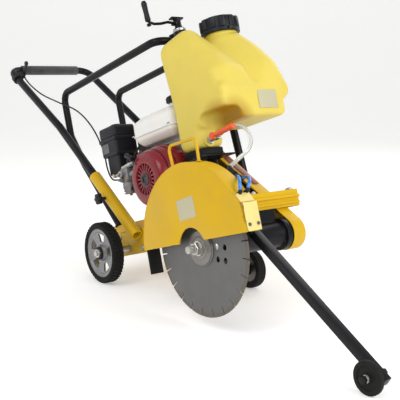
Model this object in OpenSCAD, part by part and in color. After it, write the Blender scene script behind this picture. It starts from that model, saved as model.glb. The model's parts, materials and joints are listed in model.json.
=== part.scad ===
// Walk-behind concrete saw, nose raised on its depth screw. Millimetres.
// Machine frame: x forward, y to the operator's left, z square to the deck, origin on the rear axle.

/* [Chassis] */
// Nose-up angle of the deck
pitch = 15.9; // [0:0.1:20]
// Height of the deck's top face above the rear axle
deck_top = 80; // [60:1:100]
// Depth of the folded deck edge
deck_drop = 46; // [40:1:46]
// Front edge of the deck
deck_front = 538; // [480:1:560]
// Half width of the deck
deck_half = 120; // [100:1:150]
// Sheet thickness
sheet = 4; // [3:0.5:6]

/* [Wheels] */
// Rear wheel radius
rear_r = 94; // [80:1:120]
// Rear wheel width
rear_w = 38; // [30:1:50]
// Outer face of the rear wheels
rear_face = 260; // [240:1:280]
// Front wheel radius
front_r = 58; // [45:1:70]
// Guide wheel radius
guide_r = 36; // [30:1:45]

/* [Blade] */
// Blade radius
blade_r = 175; // [150:1:200]
// Spindle position ahead of the rear axle
spin_x = 538; // [500:1:560]
// Spindle height above the rear axle
spin_z = -36; // [-60:1:0]
// Guard radius
guard_r = 215; // [200:1:230]

/* [Engine] */
// Crankshaft position ahead of the rear axle
eng_x = 240; // [200:1:250]
// Crankshaft height above the rear axle
eng_z = 182; // [170:1:200]

/* [Handle] */
// Half spacing of the handle legs
grip_half = 166; // [150:1:200]
// Handle tube radius
tube_r = 13.5; // [10:0.5:16]
// Half spacing of the hoop rails
hoop_half = 112; // [90:1:130]

/* [Hidden] */
ox = -141.3;
oy = 23;
yellow = [0.85, 0.68, 0.12];
black = [0.07, 0.07, 0.08];
steel = [0.62, 0.62, 0.64];
red = [0.45, 0.06, 0.08];
rubber = [0.05, 0.05, 0.05];
blue = [0.1, 0.4, 0.8];
lean = atan(0.114);
leg_top = [284, 98, 576];
leg_foot = [328, 98, 80];
axle_x = 302;
axle_z = -(rear_r - front_r + axle_x * sin(pitch)) / cos(pitch);
guide_x = 998;
guide_z = -(rear_r - guide_r + guide_x * sin(pitch)) / cos(pitch);
col_x = 375;
col_y = -40;
blade_y = -272;
belt_y = 28;
cable_route = [[-539.2, -148, 713.3], [-500, -146, 668], [-430, -140, 612], [-340, -130, 560],
  [-230, -122, 500], [-150, -122, 426], [-106, -120, 340], [-90, -124, 268], [-62, -130, 232],
  [-25, -132, 222], [13.4, -132, 222]];
clear_route = [[507, -115, 257], [545, -119, 263], [582, -122, 259], [620, -130, 238],
  [642, -142, 208], [650, -162, 184], [640, -184, 168], [621, -205, 150]];
near_route = [[650, -222, 118], [680, -240, 117], [712, -264, 110], [731, -280, 98], [733, -285, 78]];
far_route = [[658, -206, 114], [690, -218, 112], [716, -236, 106], [733, -252, 96], [734, -262, 80]];

function unit(v) = v / norm(v);
function turn(a, p, b) = acos(min(1, unit(p - a) * unit(b - p)));
function cut(a, p, b, r) = r * tan(turn(a, p, b) / 2);

// Puts machine-frame shapes into the shared frame.
module pose() {
  translate([ox, oy, rear_r]) rotate([0, -pitch, 0]) children();
}

module rod(a, b, r) {
  d = b - a;
  translate(a) rotate([0, acos(d.z / norm(d)), atan2(d.y, d.x)])
    cylinder(h = norm(d), r = r, $fn = 48);
}

// Points along a bent tube: straight runs joined by round bends.
function bend_at(a, p, b, r) = let (u = unit(p - a), v = unit(b - p), t = turn(a, p, b),
  n = unit(v - (u * v) * u), c = p - u * cut(a, p, b, r) + n * r, k = max(2, ceil(t / 15)))
  [for (i = [0 : k]) c + r * (sin(i * t / k) * u - cos(i * t / k) * n)];
function bent(p, r) = [p[0], for (i = [1 : len(p) - 2]) each bend_at(p[i - 1], p[i], p[i + 1], r),
  p[len(p) - 1]];

// Catmull-Rom points along a route, then one swept tube.
function spline(p, k) = [for (i = [0 : len(p) - 2]) for (j = [0 : k - 1])
  let (t = j / k, a = p[max(i - 1, 0)], b = p[i], c = p[i + 1], d = p[min(i + 2, len(p) - 1)])
  0.5 * (2 * b + (c - a) * t + (2 * a - 5 * b + 4 * c - d) * t * t
    + (3 * b - a - 3 * c + d) * t * t * t), p[len(p) - 1]];
function side(d) = unit(cross(d, [0.31, 0.2, 1]));
function ring(q, i, r, m) = let (d = unit(q[min(i + 1, len(q) - 1)] - q[max(i - 1, 0)]),
  u = side(d), v = cross(d, u)) [for (j = [0 : m - 1]) q[i] + r * (cos(360 * j / m) * u + sin(360 * j / m) * v)];
module hose(p, r, k, m) sweep(spline(p, k), r, m);
module sweep(q, r, m) {
  n = len(q);
  pts = [for (i = [0 : n - 1]) each ring(q, i, r, m)];
  walls = [for (i = [0 : n - 2]) for (j = [0 : m - 1])
    [(i + 1) * m + j, (i + 1) * m + (j + 1) % m, i * m + (j + 1) % m, i * m + j]];
  polyhedron(pts, concat(walls, [[for (j = [0 : m - 1]) j], [for (j = [m - 1 : -1 : 0]) (n - 1) * m + j]]));
}

// Cylinder along y from y0 to y1.
module ycyl(x, y0, y1, z, r, fn = 64) {
  translate([x, y0, z]) rotate([-90, 0, 0]) cylinder(h = y1 - y0, r = r, $fn = fn);
}
module box(a, b) {
  translate(a) cube(b - a);
}
module yplate(y0, y1) {
  translate([0, y1, 0]) rotate([90, 0, 0]) linear_extrude(height = y1 - y0) children();
}
// A shape placed along the leaning depth column; z = 0 lies level with the axle.
module column() {
  translate([col_x, col_y, 0]) rotate([0, -lean, 0]) children();
}
module socket_frame(y) {
  translate([-106, y, 252]) rotate([0, 180 - atan(191 / 218), 0]) children();
}

module deck() color(yellow) pose() {
  z0 = deck_top - deck_drop;
  difference() {
    union() {
      translate([0, 0, z0]) linear_extrude(height = deck_drop) polygon([[-120, -deck_half],
        [deck_front - 30, -deck_half], [deck_front, 30 - deck_half], [deck_front, deck_half - 30],
        [deck_front - 30, deck_half], [-120, deck_half]]);
      box([deck_front - 1, 34 - deck_half, z0 + 8], [deck_front + 7, deck_half - 34, z0 + 12]);
    }
    translate([0, 0, z0 - 1]) linear_extrude(height = deck_drop - sheet + 1)
      polygon([[-116, sheet - deck_half], [deck_front - 32, sheet - deck_half],
        [deck_front - sheet, 32 - deck_half], [deck_front - sheet, deck_half - 32],
        [deck_front - 32, deck_half - sheet], [-116, deck_half - sheet]]);
    box([222, 2, z0 - 1], [deck_front - 6, 54, deck_top + 1]);
    for (x = [118, 306]) for (y = [-95, -19])
      translate([x, y, z0]) cylinder(h = 60, r = 4.5, $fn = 32);
    column() translate([0, 0, 40]) cylinder(h = 60, r = 16.2, $fn = 64);
  }
  for (y = [-96, 4]) {
    box([132, y, 10], [168, y + 8, deck_top - sheet]);
    ycyl(150, y, y + 8, 10, 18);
  }
  ycyl(150, -96, 12, 10, 8);
}

module axle_boxes() color(yellow) pose() for (s = [-1, 1]) difference() {
  box([-62, s > 0 ? deck_half : -147, -22], [95, s > 0 ? 147 : -deck_half, 54]);
  ycyl(0, -200, 200, 0, 10.06);
}

module rear_axle() color(steel) pose() {
  ycyl(0, -256, 256, 0, 10);
  for (s = [-1, 1]) ycyl(0, s > 0 ? 256 : -272, s > 0 ? 272 : -256, 0, 8);
}

module axle_nuts() color(steel) pose() for (s = [-1, 1]) difference() {
  y0 = s > 0 ? 256.3 : -266.3;
  ycyl(0, y0, y0 + 10, 0, 14, 6);
  ycyl(0, -300, 300, 0, 8);
}

module handle_sockets() color(yellow) pose() for (s = [-1, 1]) {
  socket_frame(s * grip_half) difference() {
    cylinder(h = 290, r = 19, $fn = 64);
    translate([0, 0, -1]) cylinder(h = 292, r = tube_r + 0.3, $fn = 64);
    translate([0, 0, 110]) rotate([s * -90, 0, 0]) cylinder(h = 40, r = 5.1, $fn = 32);
  }
}

module hoop_frame() color(black) pose() {
  a = hoop_half;
  sweep(bent([[-93, -a, deck_top], [-254, -a, 313], [-318, -a, 430], [-322, -a, 584], [278, -a, 584],
    [278, a, 584], [-322, a, 584], [-318, a, 430], [-254, a, 313], [-93, a, deck_top]], 34), 12, 24);
}

module screw_column() color(black) pose() {
  column() difference() {
    union() {
      translate([0, 0, 40]) cylinder(h = 560, r = 15, $fn = 64);
      translate([0, 0, 588]) cylinder(h = 26, r = 19, $fn = 64);
      translate([0, 0, 84]) cylinder(h = 6, r = 30, $fn = 64);
    }
    translate([0, 0, 30]) cylinder(h = 600, r = 11.08, $fn = 64);
  }
  box([266, -52, 595.5], [292, -28, 605]);
  rod(leg_top, leg_foot, 12);
}

module tank_shelf() color(black) pose() difference() {
  box([338, -136, 208], [430, -14, 213]);
  column() translate([0, 0, 150]) cylinder(h = 120, r = 15, $fn = 64);
  rod(leg_top, leg_foot, 12);
}

module ball(p, r) {
  translate(p) sphere(r = r, $fn = 20);
}

module water_tank() color(yellow) pose() difference() {
  union() {
    hull() {
      for (x = [365, 545]) for (y = [-123, 78]) for (z = [300, 345]) ball([x, y, z], 12);
      for (x = [365, 545]) ball([x, 100, 368], 15);
    }
    hull() {
      ball([352, -110, 351], 26);
      ball([334, -98, 524], 39);
      ball([345, -36, 501], 28);
      ball([374, -72, 546], 38);
      ball([500, -88, 411], 46);
      ball([501, -44, 409], 44);
      ball([525, -97, 366], 32);
      ball([524, -27, 364], 32.5);
    }
    hull() {
      ball([353, 90, 350], 26);
      ball([366, 70, 500], 40);
      ball([410, 36, 516], 60);
      ball([462, 54, 470], 54);
      ball([498, 66, 424], 52);
      ball([521, 78, 380], 42);
      ball([532, 88, 360], 30);
      ball([524, 14, 363], 33.5);
      ball([470, 14, 436], 46);
    }
    hull() {
      for (x = [349, 411]) ball([x, -113 - x / 200, 233 + x / 400], 20);
      for (x = [350, 410]) ball([x, -60 + x / 200, 234 - x / 300], 19.5);
      for (x = [350, 409]) ball([x, -112, 330 + x / 300], 20.6);
      for (x = [352, 412]) ball([x, -60, 331 - x / 300], 20.2);
    }
    translate([405, 30, 520]) cylinder(h = 72, r = 46, $fn = 96);
  }
  translate([405, 30, 470]) cylinder(h = 140, r = 38, $fn = 96);
  translate([442, -112, 250]) rotate([0, 90, 0]) cylinder(h = 160, r = 55, $fn = 64);
  translate([442, -112, 300]) rotate([0, 90, 0]) cylinder(h = 160, r = 38, $fn = 64);
  column() translate([-44, -18, 190]) cube([62, 36, 430]);
}

module tap_body() color([0.55, 0.42, 0.2]) pose() difference() {
  union() {
    rod([433.5, -104, 250], [496, -113, 256], 8);
    translate([480, -104, 254]) rotate([90, 0, 0]) cylinder(h = 29, r = 5, $fn = 32);
    rod([494, -112.8, 256], [506, -115, 257], 5);
  }
  rod([497, -113.3, 256.2], [507, -115.2, 257.1], 3);
}

module tap_lever() color([0.85, 0.2, 0.1]) pose() difference() {
  union() {
    ycyl(480, -134, -124, 254, 10);
    box([480, -133, 249], [500, -125, 259]);
    rod([498, -129, 254], [580, -136, 260], 5);
  }
  ycyl(480, -140, -118, 254, 5.06);
}

module clear_hose() color([0.85, 0.87, 0.88]) pose() hose(clear_route, 5, 7, 10);

module hose_splitter() color([0.2, 0.2, 0.22]) pose() {
  rod([624, -211, 141], [644, -214, 126], 7.5);
  rod([636, -212.8, 132], [648.2, -219.9, 120.2], 4.6);
  rod([636, -212.8, 132], [654.8, -206.9, 116.3], 4.4);
}

module blue_hose_near() color(blue) pose() hose(near_route, 4, 7, 10);
module blue_hose_far() color(blue) pose() hose(far_route, 4, 7, 10);

module guard_shape(r) {
  difference() {
    union() {
      circle(r = r, $fn = 180);
      polygon([[120, 18], [r - 6, 18], [r - 8, 84], [r - 23, 106], [120, 160]]);
    }
    translate([-300, -300]) square([600, 318]);
  }
}

module blade_guard() color(yellow) pose() difference() {
  translate([spin_x, 0, spin_z]) difference() {
    yplate(-302, -256) guard_shape(guard_r);
    yplate(-299, -259) intersection() {
      guard_shape(guard_r - 3);
      translate([-300, 17]) square(600);
    }
    yplate(-299, -259) translate([-205, 10]) square([404, 40]);
    ycyl(0, -310, -250, 0, 54);
  }
}

module guard_arm() color(black) pose() {
  box([470, -250, 46], [526, -deck_half, 76]);
  difference() {
    union() {
      box([430, -256, 24], [650, -250, 112]);
      box([640, -256, -24], [712, -250, 60]);
    }
    ycyl(spin_x, -260, -240, spin_z, 60);
  }
  ycyl(690, -252, -222, -10, 5);
}

module guard_bail() color(yellow) pose()
  sweep(bent([[485, -279, 173.4], [479, -279, 234], [598, -279, 231], [594, -279, 172]], 14), 4, 16);

module splash_flap() color(rubber) pose() box([328.6, -298.8, -84], [333.6, -259.2, -5]);

module bearing_housing() color(black) pose() difference() {
  union() {
    ycyl(spin_x, -214, 2, spin_z, 34);
    box([452, -196, -30], [540, -10, 34]);
    box([440, -110, 34], [500, 0, deck_top - sheet]);
    for (y = [-200, -6]) ycyl(spin_x, y - 8, y + 8, spin_z, 44);
  }
  ycyl(spin_x, -230, 30, spin_z, 12.56);
  ycyl(spin_x, -190, -14, spin_z, 20);
}

// Outline of two round ends and their outer tangents, with the drive pulley's end first.
function belt_outline(r1, r2) = let (d = [spin_x - eng_x, spin_z - eng_z], c = norm(d),
  t = acos((r1 - r2) / c)) concat([for (i = [0 : 36]) let (a = t + i * (360 - 2 * t) / 36)
    r1 * [cos(a), sin(a)]], [for (i = [0 : 24]) let (a = -t + i * 2 * t / 24)
    [c + r2 * cos(a), r2 * sin(a)]]);
module belt_shape(r1, r2) {
  translate([eng_x, eng_z]) rotate(atan2(spin_z - eng_z, spin_x - eng_x)) polygon(belt_outline(r1, r2));
}

module belt_guard() color(yellow) pose() difference() {
  yplate(6, 48) belt_shape(84, 46);
  yplate(5, 45) belt_shape(81, 43);
}

module crankcase() color([0.25, 0.25, 0.27]) pose() difference() {
  union() {
    box([104, -112, deck_top], [330, -10, deck_top + 14]);
    box([168, -110, deck_top + 14], [318, -12, 250]);
    ycyl(eng_x, -111, 4, eng_z, 46);
    translate([176, -58, 210]) rotate([0, -65, 0]) translate([-40, -44, -20]) cube([80, 88, 47.7]);
    ycyl(300, -20, 2, 112, 12);
    box([182, -99, 240], [300, -64, 288]);
  }
  ycyl(eng_x, -50, 30, eng_z, 10.06);
  for (x = [118, 306]) for (y = [-95, -19])
    translate([x, y, deck_top - 1]) cylinder(h = 40, r = 4.5, $fn = 32);
  for (x = [118, 306]) for (y = [-95, -19])
    translate([x, y, deck_top + 14]) cylinder(h = 40, r = 12, $fn = 32);
}

module cylinder_head() color([0.5, 0.5, 0.52]) pose()
  translate([176, -58, 210]) rotate([0, -65, 0]) difference() {
    union() {
      translate([0, 0, 28]) cylinder(h = 82, r = 38, $fn = 64);
      for (k = [0 : 6]) translate([-46, -46, 34 + k * 10]) cube([92, 92, 5]);
      translate([-34, -40, 108]) cube([68, 80, 30]);
      translate([-38, -44, 106]) cube([76, 88, 6]);
    }
    translate([-60, -70, 20]) cube([40, 140, 12]);
  }

module fan_shroud() color(red) pose() difference() {
  union() {
    ycyl(eng_x, -150, -112.3, eng_z + 2, 96, 128);
    yplate(-149, -113) polygon([[eng_x - 118, eng_z + 30], [eng_x - 108, eng_z + 92],
      [eng_x - 20, eng_z + 94], [eng_x, eng_z], [eng_x - 74, eng_z - 50]]);
  }
  ycyl(eng_x, -148, -100, eng_z + 2, 86, 96);
  ycyl(eng_x, -160, -140, eng_z + 2, 70, 96);
}

module recoil_cover() color(red) pose() translate([eng_x, -150.3, eng_z + 2]) rotate([90, 0, 0])
  difference() {
    rotate_extrude($fn = 128) polygon([[22, 52], [40, 58], [66, 56], [82, 42], [90, 14], [90, 0],
      [84, 0], [84, 12], [77, 38], [64, 51], [40, 53], [22, 47]]);
    for (k = [0 : 13]) rotate(k * 360 / 14) translate([80, -5, 8]) cube([20, 10, 24]);
    for (k = [0 : 9]) rotate(k * 36 + 18) translate([46, -4, 40]) cube([20, 8, 30]);
  }

module recoil_grip() color(black) pose() {
  translate([eng_x - 62, -212, eng_z + 64]) rotate([0, 30, 0]) union() {
    translate([0, 0, 1]) cylinder(h = 10, r = 6, $fn = 32);
    translate([-17, 0, 16]) rotate([0, 90, 0]) cylinder(h = 34, r = 7, $fn = 32);
  }
}

module tank_band(z, h, g, y1) {
  hull() for (x = [124, y1 > -40 ? 262 : 296]) for (y = [-114, y1])
    translate([x, y, z]) cylinder(h = h, r = 22 + g, $fn = 32);
}

module fuel_tank() color([0.85, 0.85, 0.8]) pose() difference() {
  union() {
    for (y = [-84, -30]) {
      tank_band(296, 30, 0, y);
      tank_band(326, 6, 3, y);
      tank_band(332, 48, 0, y);
      tank_band(379, 12, -6, y);
    }
    box([190, -100, 288.3], [290, -68, 297]);
    translate([284, -86, 380]) cylinder(h = 22, r = 17, $fn = 64);
  }
  translate([284, -86, 366]) cylinder(h = 60, r = 13, $fn = 64);
}

module fuel_cap() color(black) pose() translate([284, -86, 0]) difference() {
  translate([0, 0, 396]) cylinder(h = 20, r = 23, $fn = 64);
  translate([0, 0, 390]) cylinder(h = 20, r = 17.3, $fn = 64);
}

module tank_cap() color(black) pose() translate([405, 30, 0]) difference() {
  union() {
    translate([0, 0, 574]) cylinder(h = 34, r = 57, $fn = 128);
    for (k = [0 : 35]) rotate(k * 10) translate([56, -1.5, 578]) cube([3, 3, 26]);
    translate([0, 0, 568]) cylinder(h = 6, r = 60, $fn = 128);
    rotate(40) translate([58, -6, 568]) cube([12, 12, 6]);
  }
  translate([0, 0, 560]) cylinder(h = 40, r = 46.3, $fn = 128);
}

module air_cleaner() color(black) pose() {
  box([-66, -138, 250], [8, -68, 380]);
  box([-70, -142, 380], [12, -64, 396]);
  translate([-31, -103, 396]) cylinder(h = 8, r = 16, $fn = 48);
}

module carburettor() color([0.45, 0.45, 0.47]) pose() {
  box([14, -150, 196], [58, -114, 246]);
  ycyl(36, -150, -114, 190, 20);
  box([-20, -136, 236], [16, -116, 250]);
  ycyl(34, -162, -150, 232, 5);
}

module choke_lever() color(steel) pose() difference() {
  union() {
    ycyl(34, -158, -152, 232, 9);
    box([0, -157, 229], [34, -153, 235]);
    ycyl(0, -162, -151, 232, 6);
  }
  ycyl(34, -170, -145, 232, 5.06);
}

module muffler() color([0.3, 0.3, 0.3]) pose() difference() {
  union() {
    box([0, -50, 300], [96, 14, 388]);
    ycyl(70, -46, 10, 306, 8);
    rod([10, -18, 350], [-30, -18, 350], 9);
  }
  rod([4, -18, 350], [-40, -18, 350], 7);
}

module spark_plug_cap() color(black) pose() {
  rod([24, -54, 268], [0, -54, 279], 7);
  rod([0, -54, 279], [-12, -54, 264], 9);
}

module engine_bolts() color(steel) pose() for (x = [118, 306]) for (y = [-95, -19]) {
  translate([x, y, 94.2]) cylinder(h = 6, r = 8, $fn = 6);
  translate([x, y, 66]) cylinder(h = 29, r = 4.1, $fn = 32);
  translate([x, y, 68]) cylinder(h = 7.8, r = 8, $fn = 6);
}

module pulley(x, z, r, bore) {
  difference() {
    ycyl(x, 14, 42, z, r, 96);
    translate([x, belt_y, z]) rotate([90, 0, 0]) rotate_extrude($fn = 96)
      polygon([[r - 9, -4.5], [r - 9, 4.5], [r + 1, 8.5], [r + 1, -8.5]]);
    ycyl(x, 0, 80, z, bore);
  }
}

module drive_pulley() color(steel) pose() {
  pulley(eng_x, eng_z, 44, 10);
  ycyl(eng_x, -40, 42, eng_z, 10);
}

module driven_pulley() color(steel) pose() pulley(spin_x, spin_z, 42, 12.5);

module drive_belt() color(rubber) pose() difference() {
  yplate(belt_y - 4.3, belt_y + 4.3) belt_shape(43.4, 41.4);
  yplate(belt_y - 5, belt_y + 5) belt_shape(35.4, 33.4);
}

module spindle_shaft() color(steel) pose() {
  ycyl(spin_x, -262, 42, spin_z, 12.5);
  ycyl(spin_x, -299.3, -262, spin_z, 10);
  ycyl(spin_x, -318, -299.3, spin_z, 9);
}

module blade() color([0.4, 0.39, 0.38]) pose() difference() {
  ycyl(spin_x, blade_y - 1.6, blade_y + 1.6, spin_z, blade_r, 360);
  ycyl(spin_x, -300, -240, spin_z, 10);
  for (k = [0 : 23]) translate([spin_x, 0, spin_z]) rotate([0, k * 15, 0])
    box([blade_r - 17, -300, -1.2], [blade_r + 5, -240, 1.2]);
  for (h = [[58, -4], [88, -8], [55, -34], [83, -40]]) ycyl(spin_x + h.x, -300, -240, spin_z + h.y, 8, 48);
}

module blade_flanges() color(steel) pose() difference() {
  union() {
    ycyl(spin_x, blade_y + 1.6, -262, spin_z, 46, 96);
    ycyl(spin_x, -283, blade_y - 1.6, spin_z, 46, 96);
    ycyl(spin_x, -299, -283, spin_z, 17, 6);
  }
  ycyl(spin_x, -320, -240, spin_z, 10);
  ycyl(spin_x, blade_y - 1.6, blade_y + 1.6, spin_z, 60);
}

module handlebar() color(black) pose() {
  a = grip_half;
  sweep(bent([[-120, -a, 268], [-288, -a, 458], [-606, -a, 755], [-606, a, 755],
    [-288, a, 458], [-120, a, 268]], 42), tube_r - 0.2, 24);
  for (y = [-a, a]) rod([45, y, 79.7], [-126, y, 274.8], tube_r);
  rod([-606, -a + 43, 755], [-606, a - 43, 755], tube_r);
}

module foam_grip() color(rubber) pose() difference() {
  ycyl(-606, -120, 120, 755, 18);
  ycyl(-606, -130, 130, 755, tube_r);
}

module throttle_clamp() color(black) pose() difference() {
  union() {
    translate([-556, -grip_half, 708.3]) rotate([0, -47, 0]) translate([0, 0, -11])
      cylinder(h = 22, r = 19, $fn = 48);
    box([-566, -grip_half + 8, 706], [-542, -144, 732]);
  }
  rod([-288, -grip_half, 458], [-606, -grip_half, 755], tube_r);
  ycyl(-554, -150, -140, 719, 4, 32);
}

module throttle_lever() color([0.2, 0.2, 0.22]) pose() {
  ycyl(-554, -150, -136, 719, 3.96);
  ycyl(-554, -143.7, -136, 719, 12);
  rod([-554, -140, 719], [-520, -138, 756], 4);
  ycyl(-520, -144, -132, 756, 6);
}

module throttle_cable() color(black) pose() hose(cable_route, 3, 5, 8);

module knob(s) {
  socket_frame(s * grip_half) translate([0, s * 19, 110]) rotate([s * -90, 0, 0]) union() {
    translate([0, 0, -5]) cylinder(h = 22, r = 5, $fn = 32);
    translate([0, 0, 17]) cylinder(h = 14, r = 13, $fn = 48);
    for (k = [0 : 4]) rotate(k * 72) translate([12, 0, 17]) cylinder(h = 14, r = 7, $fn = 32);
  }
}
module knob_right() color(black) pose() knob(-1);
module knob_left() color(black) pose() knob(1);

module tyre(s) {
  translate([0, s * (rear_face - rear_w / 2), 0]) rotate([90, 0, 0]) difference() {
    rotate_extrude($fn = 128) polygon([[75, -15], [80, -19], [89, -17], [93, -11], [94, 0],
      [93, 11], [89, 17], [80, 19], [75, 15]]);
    for (k = [0 : 29]) rotate(k * 12) for (z = [-12, 2]) translate([91, -2, z]) cube([8, 4, 10]);
  }
}
module rim(s) {
  translate([0, s * (rear_face - rear_w / 2), 0]) rotate([s > 0 ? -90 : 90, 0, 0]) difference() {
    rotate_extrude($fn = 128) polygon([[10.06, -18], [24, -18], [24, 0], [64, 6], [68, -15],
      [75, -15], [75, 15], [66, 15], [62, 11], [26, 6], [22, 14], [10.06, 14]]);
    for (k = [0 : 4]) rotate(k * 72) translate([0, 0, -20]) linear_extrude(height = 60)
      polygon([[33, -9], [56, -17], [59, 0], [56, 17], [33, 9]]);
  }
}
module rear_tyre_right() color(rubber) pose() tyre(-1);
module rear_tyre_left() color(rubber) pose() tyre(1);
module rear_rim_right() color(steel) pose() rim(-1);
module rear_rim_left() color(steel) pose() rim(1);

module carriage_frame() color(black) pose() difference() {
  union() {
    for (y = [-84, -8]) yplate(y, y + 8) polygon([[140, 20], [160, 22], [392, -66], [392, -80],
      [316, axle_z - 10], [290, axle_z - 10], [138, 0]]);
    ycyl(150, -84, 0, 10, 15);
    ycyl(axle_x, -92, 52, axle_z, 13);
    box([356, -80, -80], [394, -4, -70]);
    ycyl(axle_x, -138, 98, axle_z, 8);
  }
  ycyl(150, -90, 80, 10, 8.06);
}

module front_wheel(y0) {
  translate([axle_x, y0 + 15, axle_z]) rotate([90, 0, 0]) rotate_extrude($fn = 96)
    polygon([[8.06, -15], [16, -15], [18, -9], [40, -9], [44, -15], [55, -15], [58, -12],
      [58, 12], [55, 15], [44, 15], [40, 9], [18, 9], [16, 15], [8.06, 15]]);
}
module front_wheel_right() color(rubber) pose() front_wheel(-126);
module front_wheel_left() color(rubber) pose() front_wheel(56);

module crank_screw() color(black) pose() column() {
  translate([0, 0, 240]) cylinder(h = 375, r = 7, $fn = 48);
  translate([0, 0, 614.6]) cylinder(h = 34, r = 11, $fn = 48);
  translate([-8, -22, 648]) cube([16, 40, 4]);
  translate([-7, -112, 632]) cube([14, 104, 4]);
  translate([0, -105, 635]) cylinder(h = 61, r = 4, $fn = 32);
  translate([0, -105, 695.3]) cylinder(h = 3, r = 6, $fn = 32);
  translate([-24, 0, 624]) rotate([0, 90, 0]) cylinder(h = 20, r = 2.5, $fn = 24);
}

module crank_grip() color(black) pose() column() translate([0, -105, 636.3]) difference() {
  cylinder(h = 58.7, r = 8.5, $fn = 48);
  translate([0, 0, -1]) cylinder(h = 70, r = 4.06, $fn = 32);
}

module push_rod() color(steel) pose() column() difference() {
  translate([0, 0, -67.5]) cylinder(h = 401, r = 11, $fn = 64);
  translate([0, 0, 120]) cylinder(h = 240, r = 7.1, $fn = 48);
}

module pointer_bar() color(black) pose() difference() {
  union() {
    translate([690, -238, -10]) rotate([0, atan2(-10 - guide_z, guide_x - 690), 0]) translate([-16, -10, -10])
      cube([493, 20, 20]);
    ycyl(guide_x, -262, -226, guide_z, 6);
    ycyl(guide_x, -290, -262, guide_z, 5);
    ycyl(guide_x, -290, -283, guide_z, 9, 6);
    ycyl(guide_x, -228.5, -220, guide_z, 9, 6);
  }
  ycyl(690, -260, -210, -10, 5.06);
}

module guide_wheel() color(rubber) pose() difference() {
  ycyl(guide_x, -276, -264, guide_z, guide_r, 96);
  ycyl(guide_x, -280, -260, guide_z, 5.06);
}

deck();
axle_boxes();
rear_axle();
axle_nuts();
handle_sockets();
hoop_frame();
screw_column();
tank_shelf();
water_tank();
tap_body();
clear_hose();
hose_splitter();
blue_hose_near();
blue_hose_far();
blade_guard();
guard_arm();
guard_bail();
splash_flap();
bearing_housing();
belt_guard();
crankcase();
cylinder_head();
fan_shroud();
recoil_cover();
fuel_tank();
air_cleaner();
carburettor();
muffler();
spark_plug_cap();
engine_bolts();
drive_belt();
handlebar();
foam_grip();
throttle_clamp();
throttle_cable();
throttle_lever();
knob_right();
knob_left();
rear_tyre_right();
rear_rim_right();
rear_tyre_left();
rear_rim_left();
carriage_frame();
front_wheel_right();
front_wheel_left();
crank_screw();
crank_grip();
push_rod();
spindle_shaft();
blade();
blade_flanges();
driven_pulley();
drive_pulley();
pointer_bar();
guide_wheel();
tap_lever();
tank_cap();
fuel_cap();
recoil_grip();
choke_lever();
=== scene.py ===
import bpy, bmesh, json, math, random
from mathutils import Matrix, Vector


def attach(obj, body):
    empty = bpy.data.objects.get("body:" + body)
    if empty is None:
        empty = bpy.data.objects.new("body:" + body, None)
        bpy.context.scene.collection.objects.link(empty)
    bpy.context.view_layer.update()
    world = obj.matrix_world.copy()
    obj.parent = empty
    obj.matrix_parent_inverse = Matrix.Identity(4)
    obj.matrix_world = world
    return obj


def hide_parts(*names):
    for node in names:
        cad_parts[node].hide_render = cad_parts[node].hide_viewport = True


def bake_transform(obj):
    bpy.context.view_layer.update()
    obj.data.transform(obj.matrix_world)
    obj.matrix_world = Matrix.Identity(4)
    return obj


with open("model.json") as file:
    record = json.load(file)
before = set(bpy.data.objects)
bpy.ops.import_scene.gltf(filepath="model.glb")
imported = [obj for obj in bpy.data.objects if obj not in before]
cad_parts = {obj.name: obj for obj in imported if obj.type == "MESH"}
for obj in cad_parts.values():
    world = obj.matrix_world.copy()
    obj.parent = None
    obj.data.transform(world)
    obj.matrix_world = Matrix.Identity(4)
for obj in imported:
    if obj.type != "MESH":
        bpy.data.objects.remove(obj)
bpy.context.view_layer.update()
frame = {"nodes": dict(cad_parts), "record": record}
print("frame loaded")

# The machine is drawn in millimetres, square to its deck, and then pitched nose up.
rearHub = next(j for j in frame["record"]["behaviour"]["joints"]
               if j["name"] == "rear_wheel_right_spin")["pos_m"]
stance = {"pitch": 15.9, "rearRadius": 94, "rearMiddle": 241, "frontX": 302, "frontRadius": 58,
          "guideX": 998, "guideRadius": 36}
column = {"foot": (375, -40, 0), "slope": 0.114}
shiftX, shiftY = rearHub[0] * 1000, rearHub[1] * 1000 + stance["rearMiddle"]
toFrame = (Matrix.Translation(Vector((shiftX, shiftY, stance["rearRadius"])) / 1000)
           @ Matrix.Rotation(-math.radians(stance["pitch"]), 4, "Y") @ Matrix.Scale(0.001, 4))
sinP, cosP = math.sin(math.radians(stance["pitch"])), math.cos(math.radians(stance["pitch"]))
frontZ = -(stance["rearRadius"] - stance["frontRadius"] + stance["frontX"] * sinP) / cosP
guideZ = -(stance["rearRadius"] - stance["guideRadius"] + stance["guideX"] * sinP) / cosP
toColumn = Matrix.Translation(column["foot"]) @ Matrix.Rotation(-math.atan(column["slope"]), 4, "Y")
axisUp, axisNear, axisFar = (0, 0, 1), (0, -1, 0), (0, 1, 0)
spindleAt, bladeY = (538, 0, -36), -272
tankMouth = (405, 30, 0)


def at(x, y, z):
    return toFrame @ Vector((x, y, z))


def link(name, data):
    thing = bpy.data.objects.new(name, data)
    bpy.context.scene.collection.objects.link(thing)
    return thing


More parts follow.
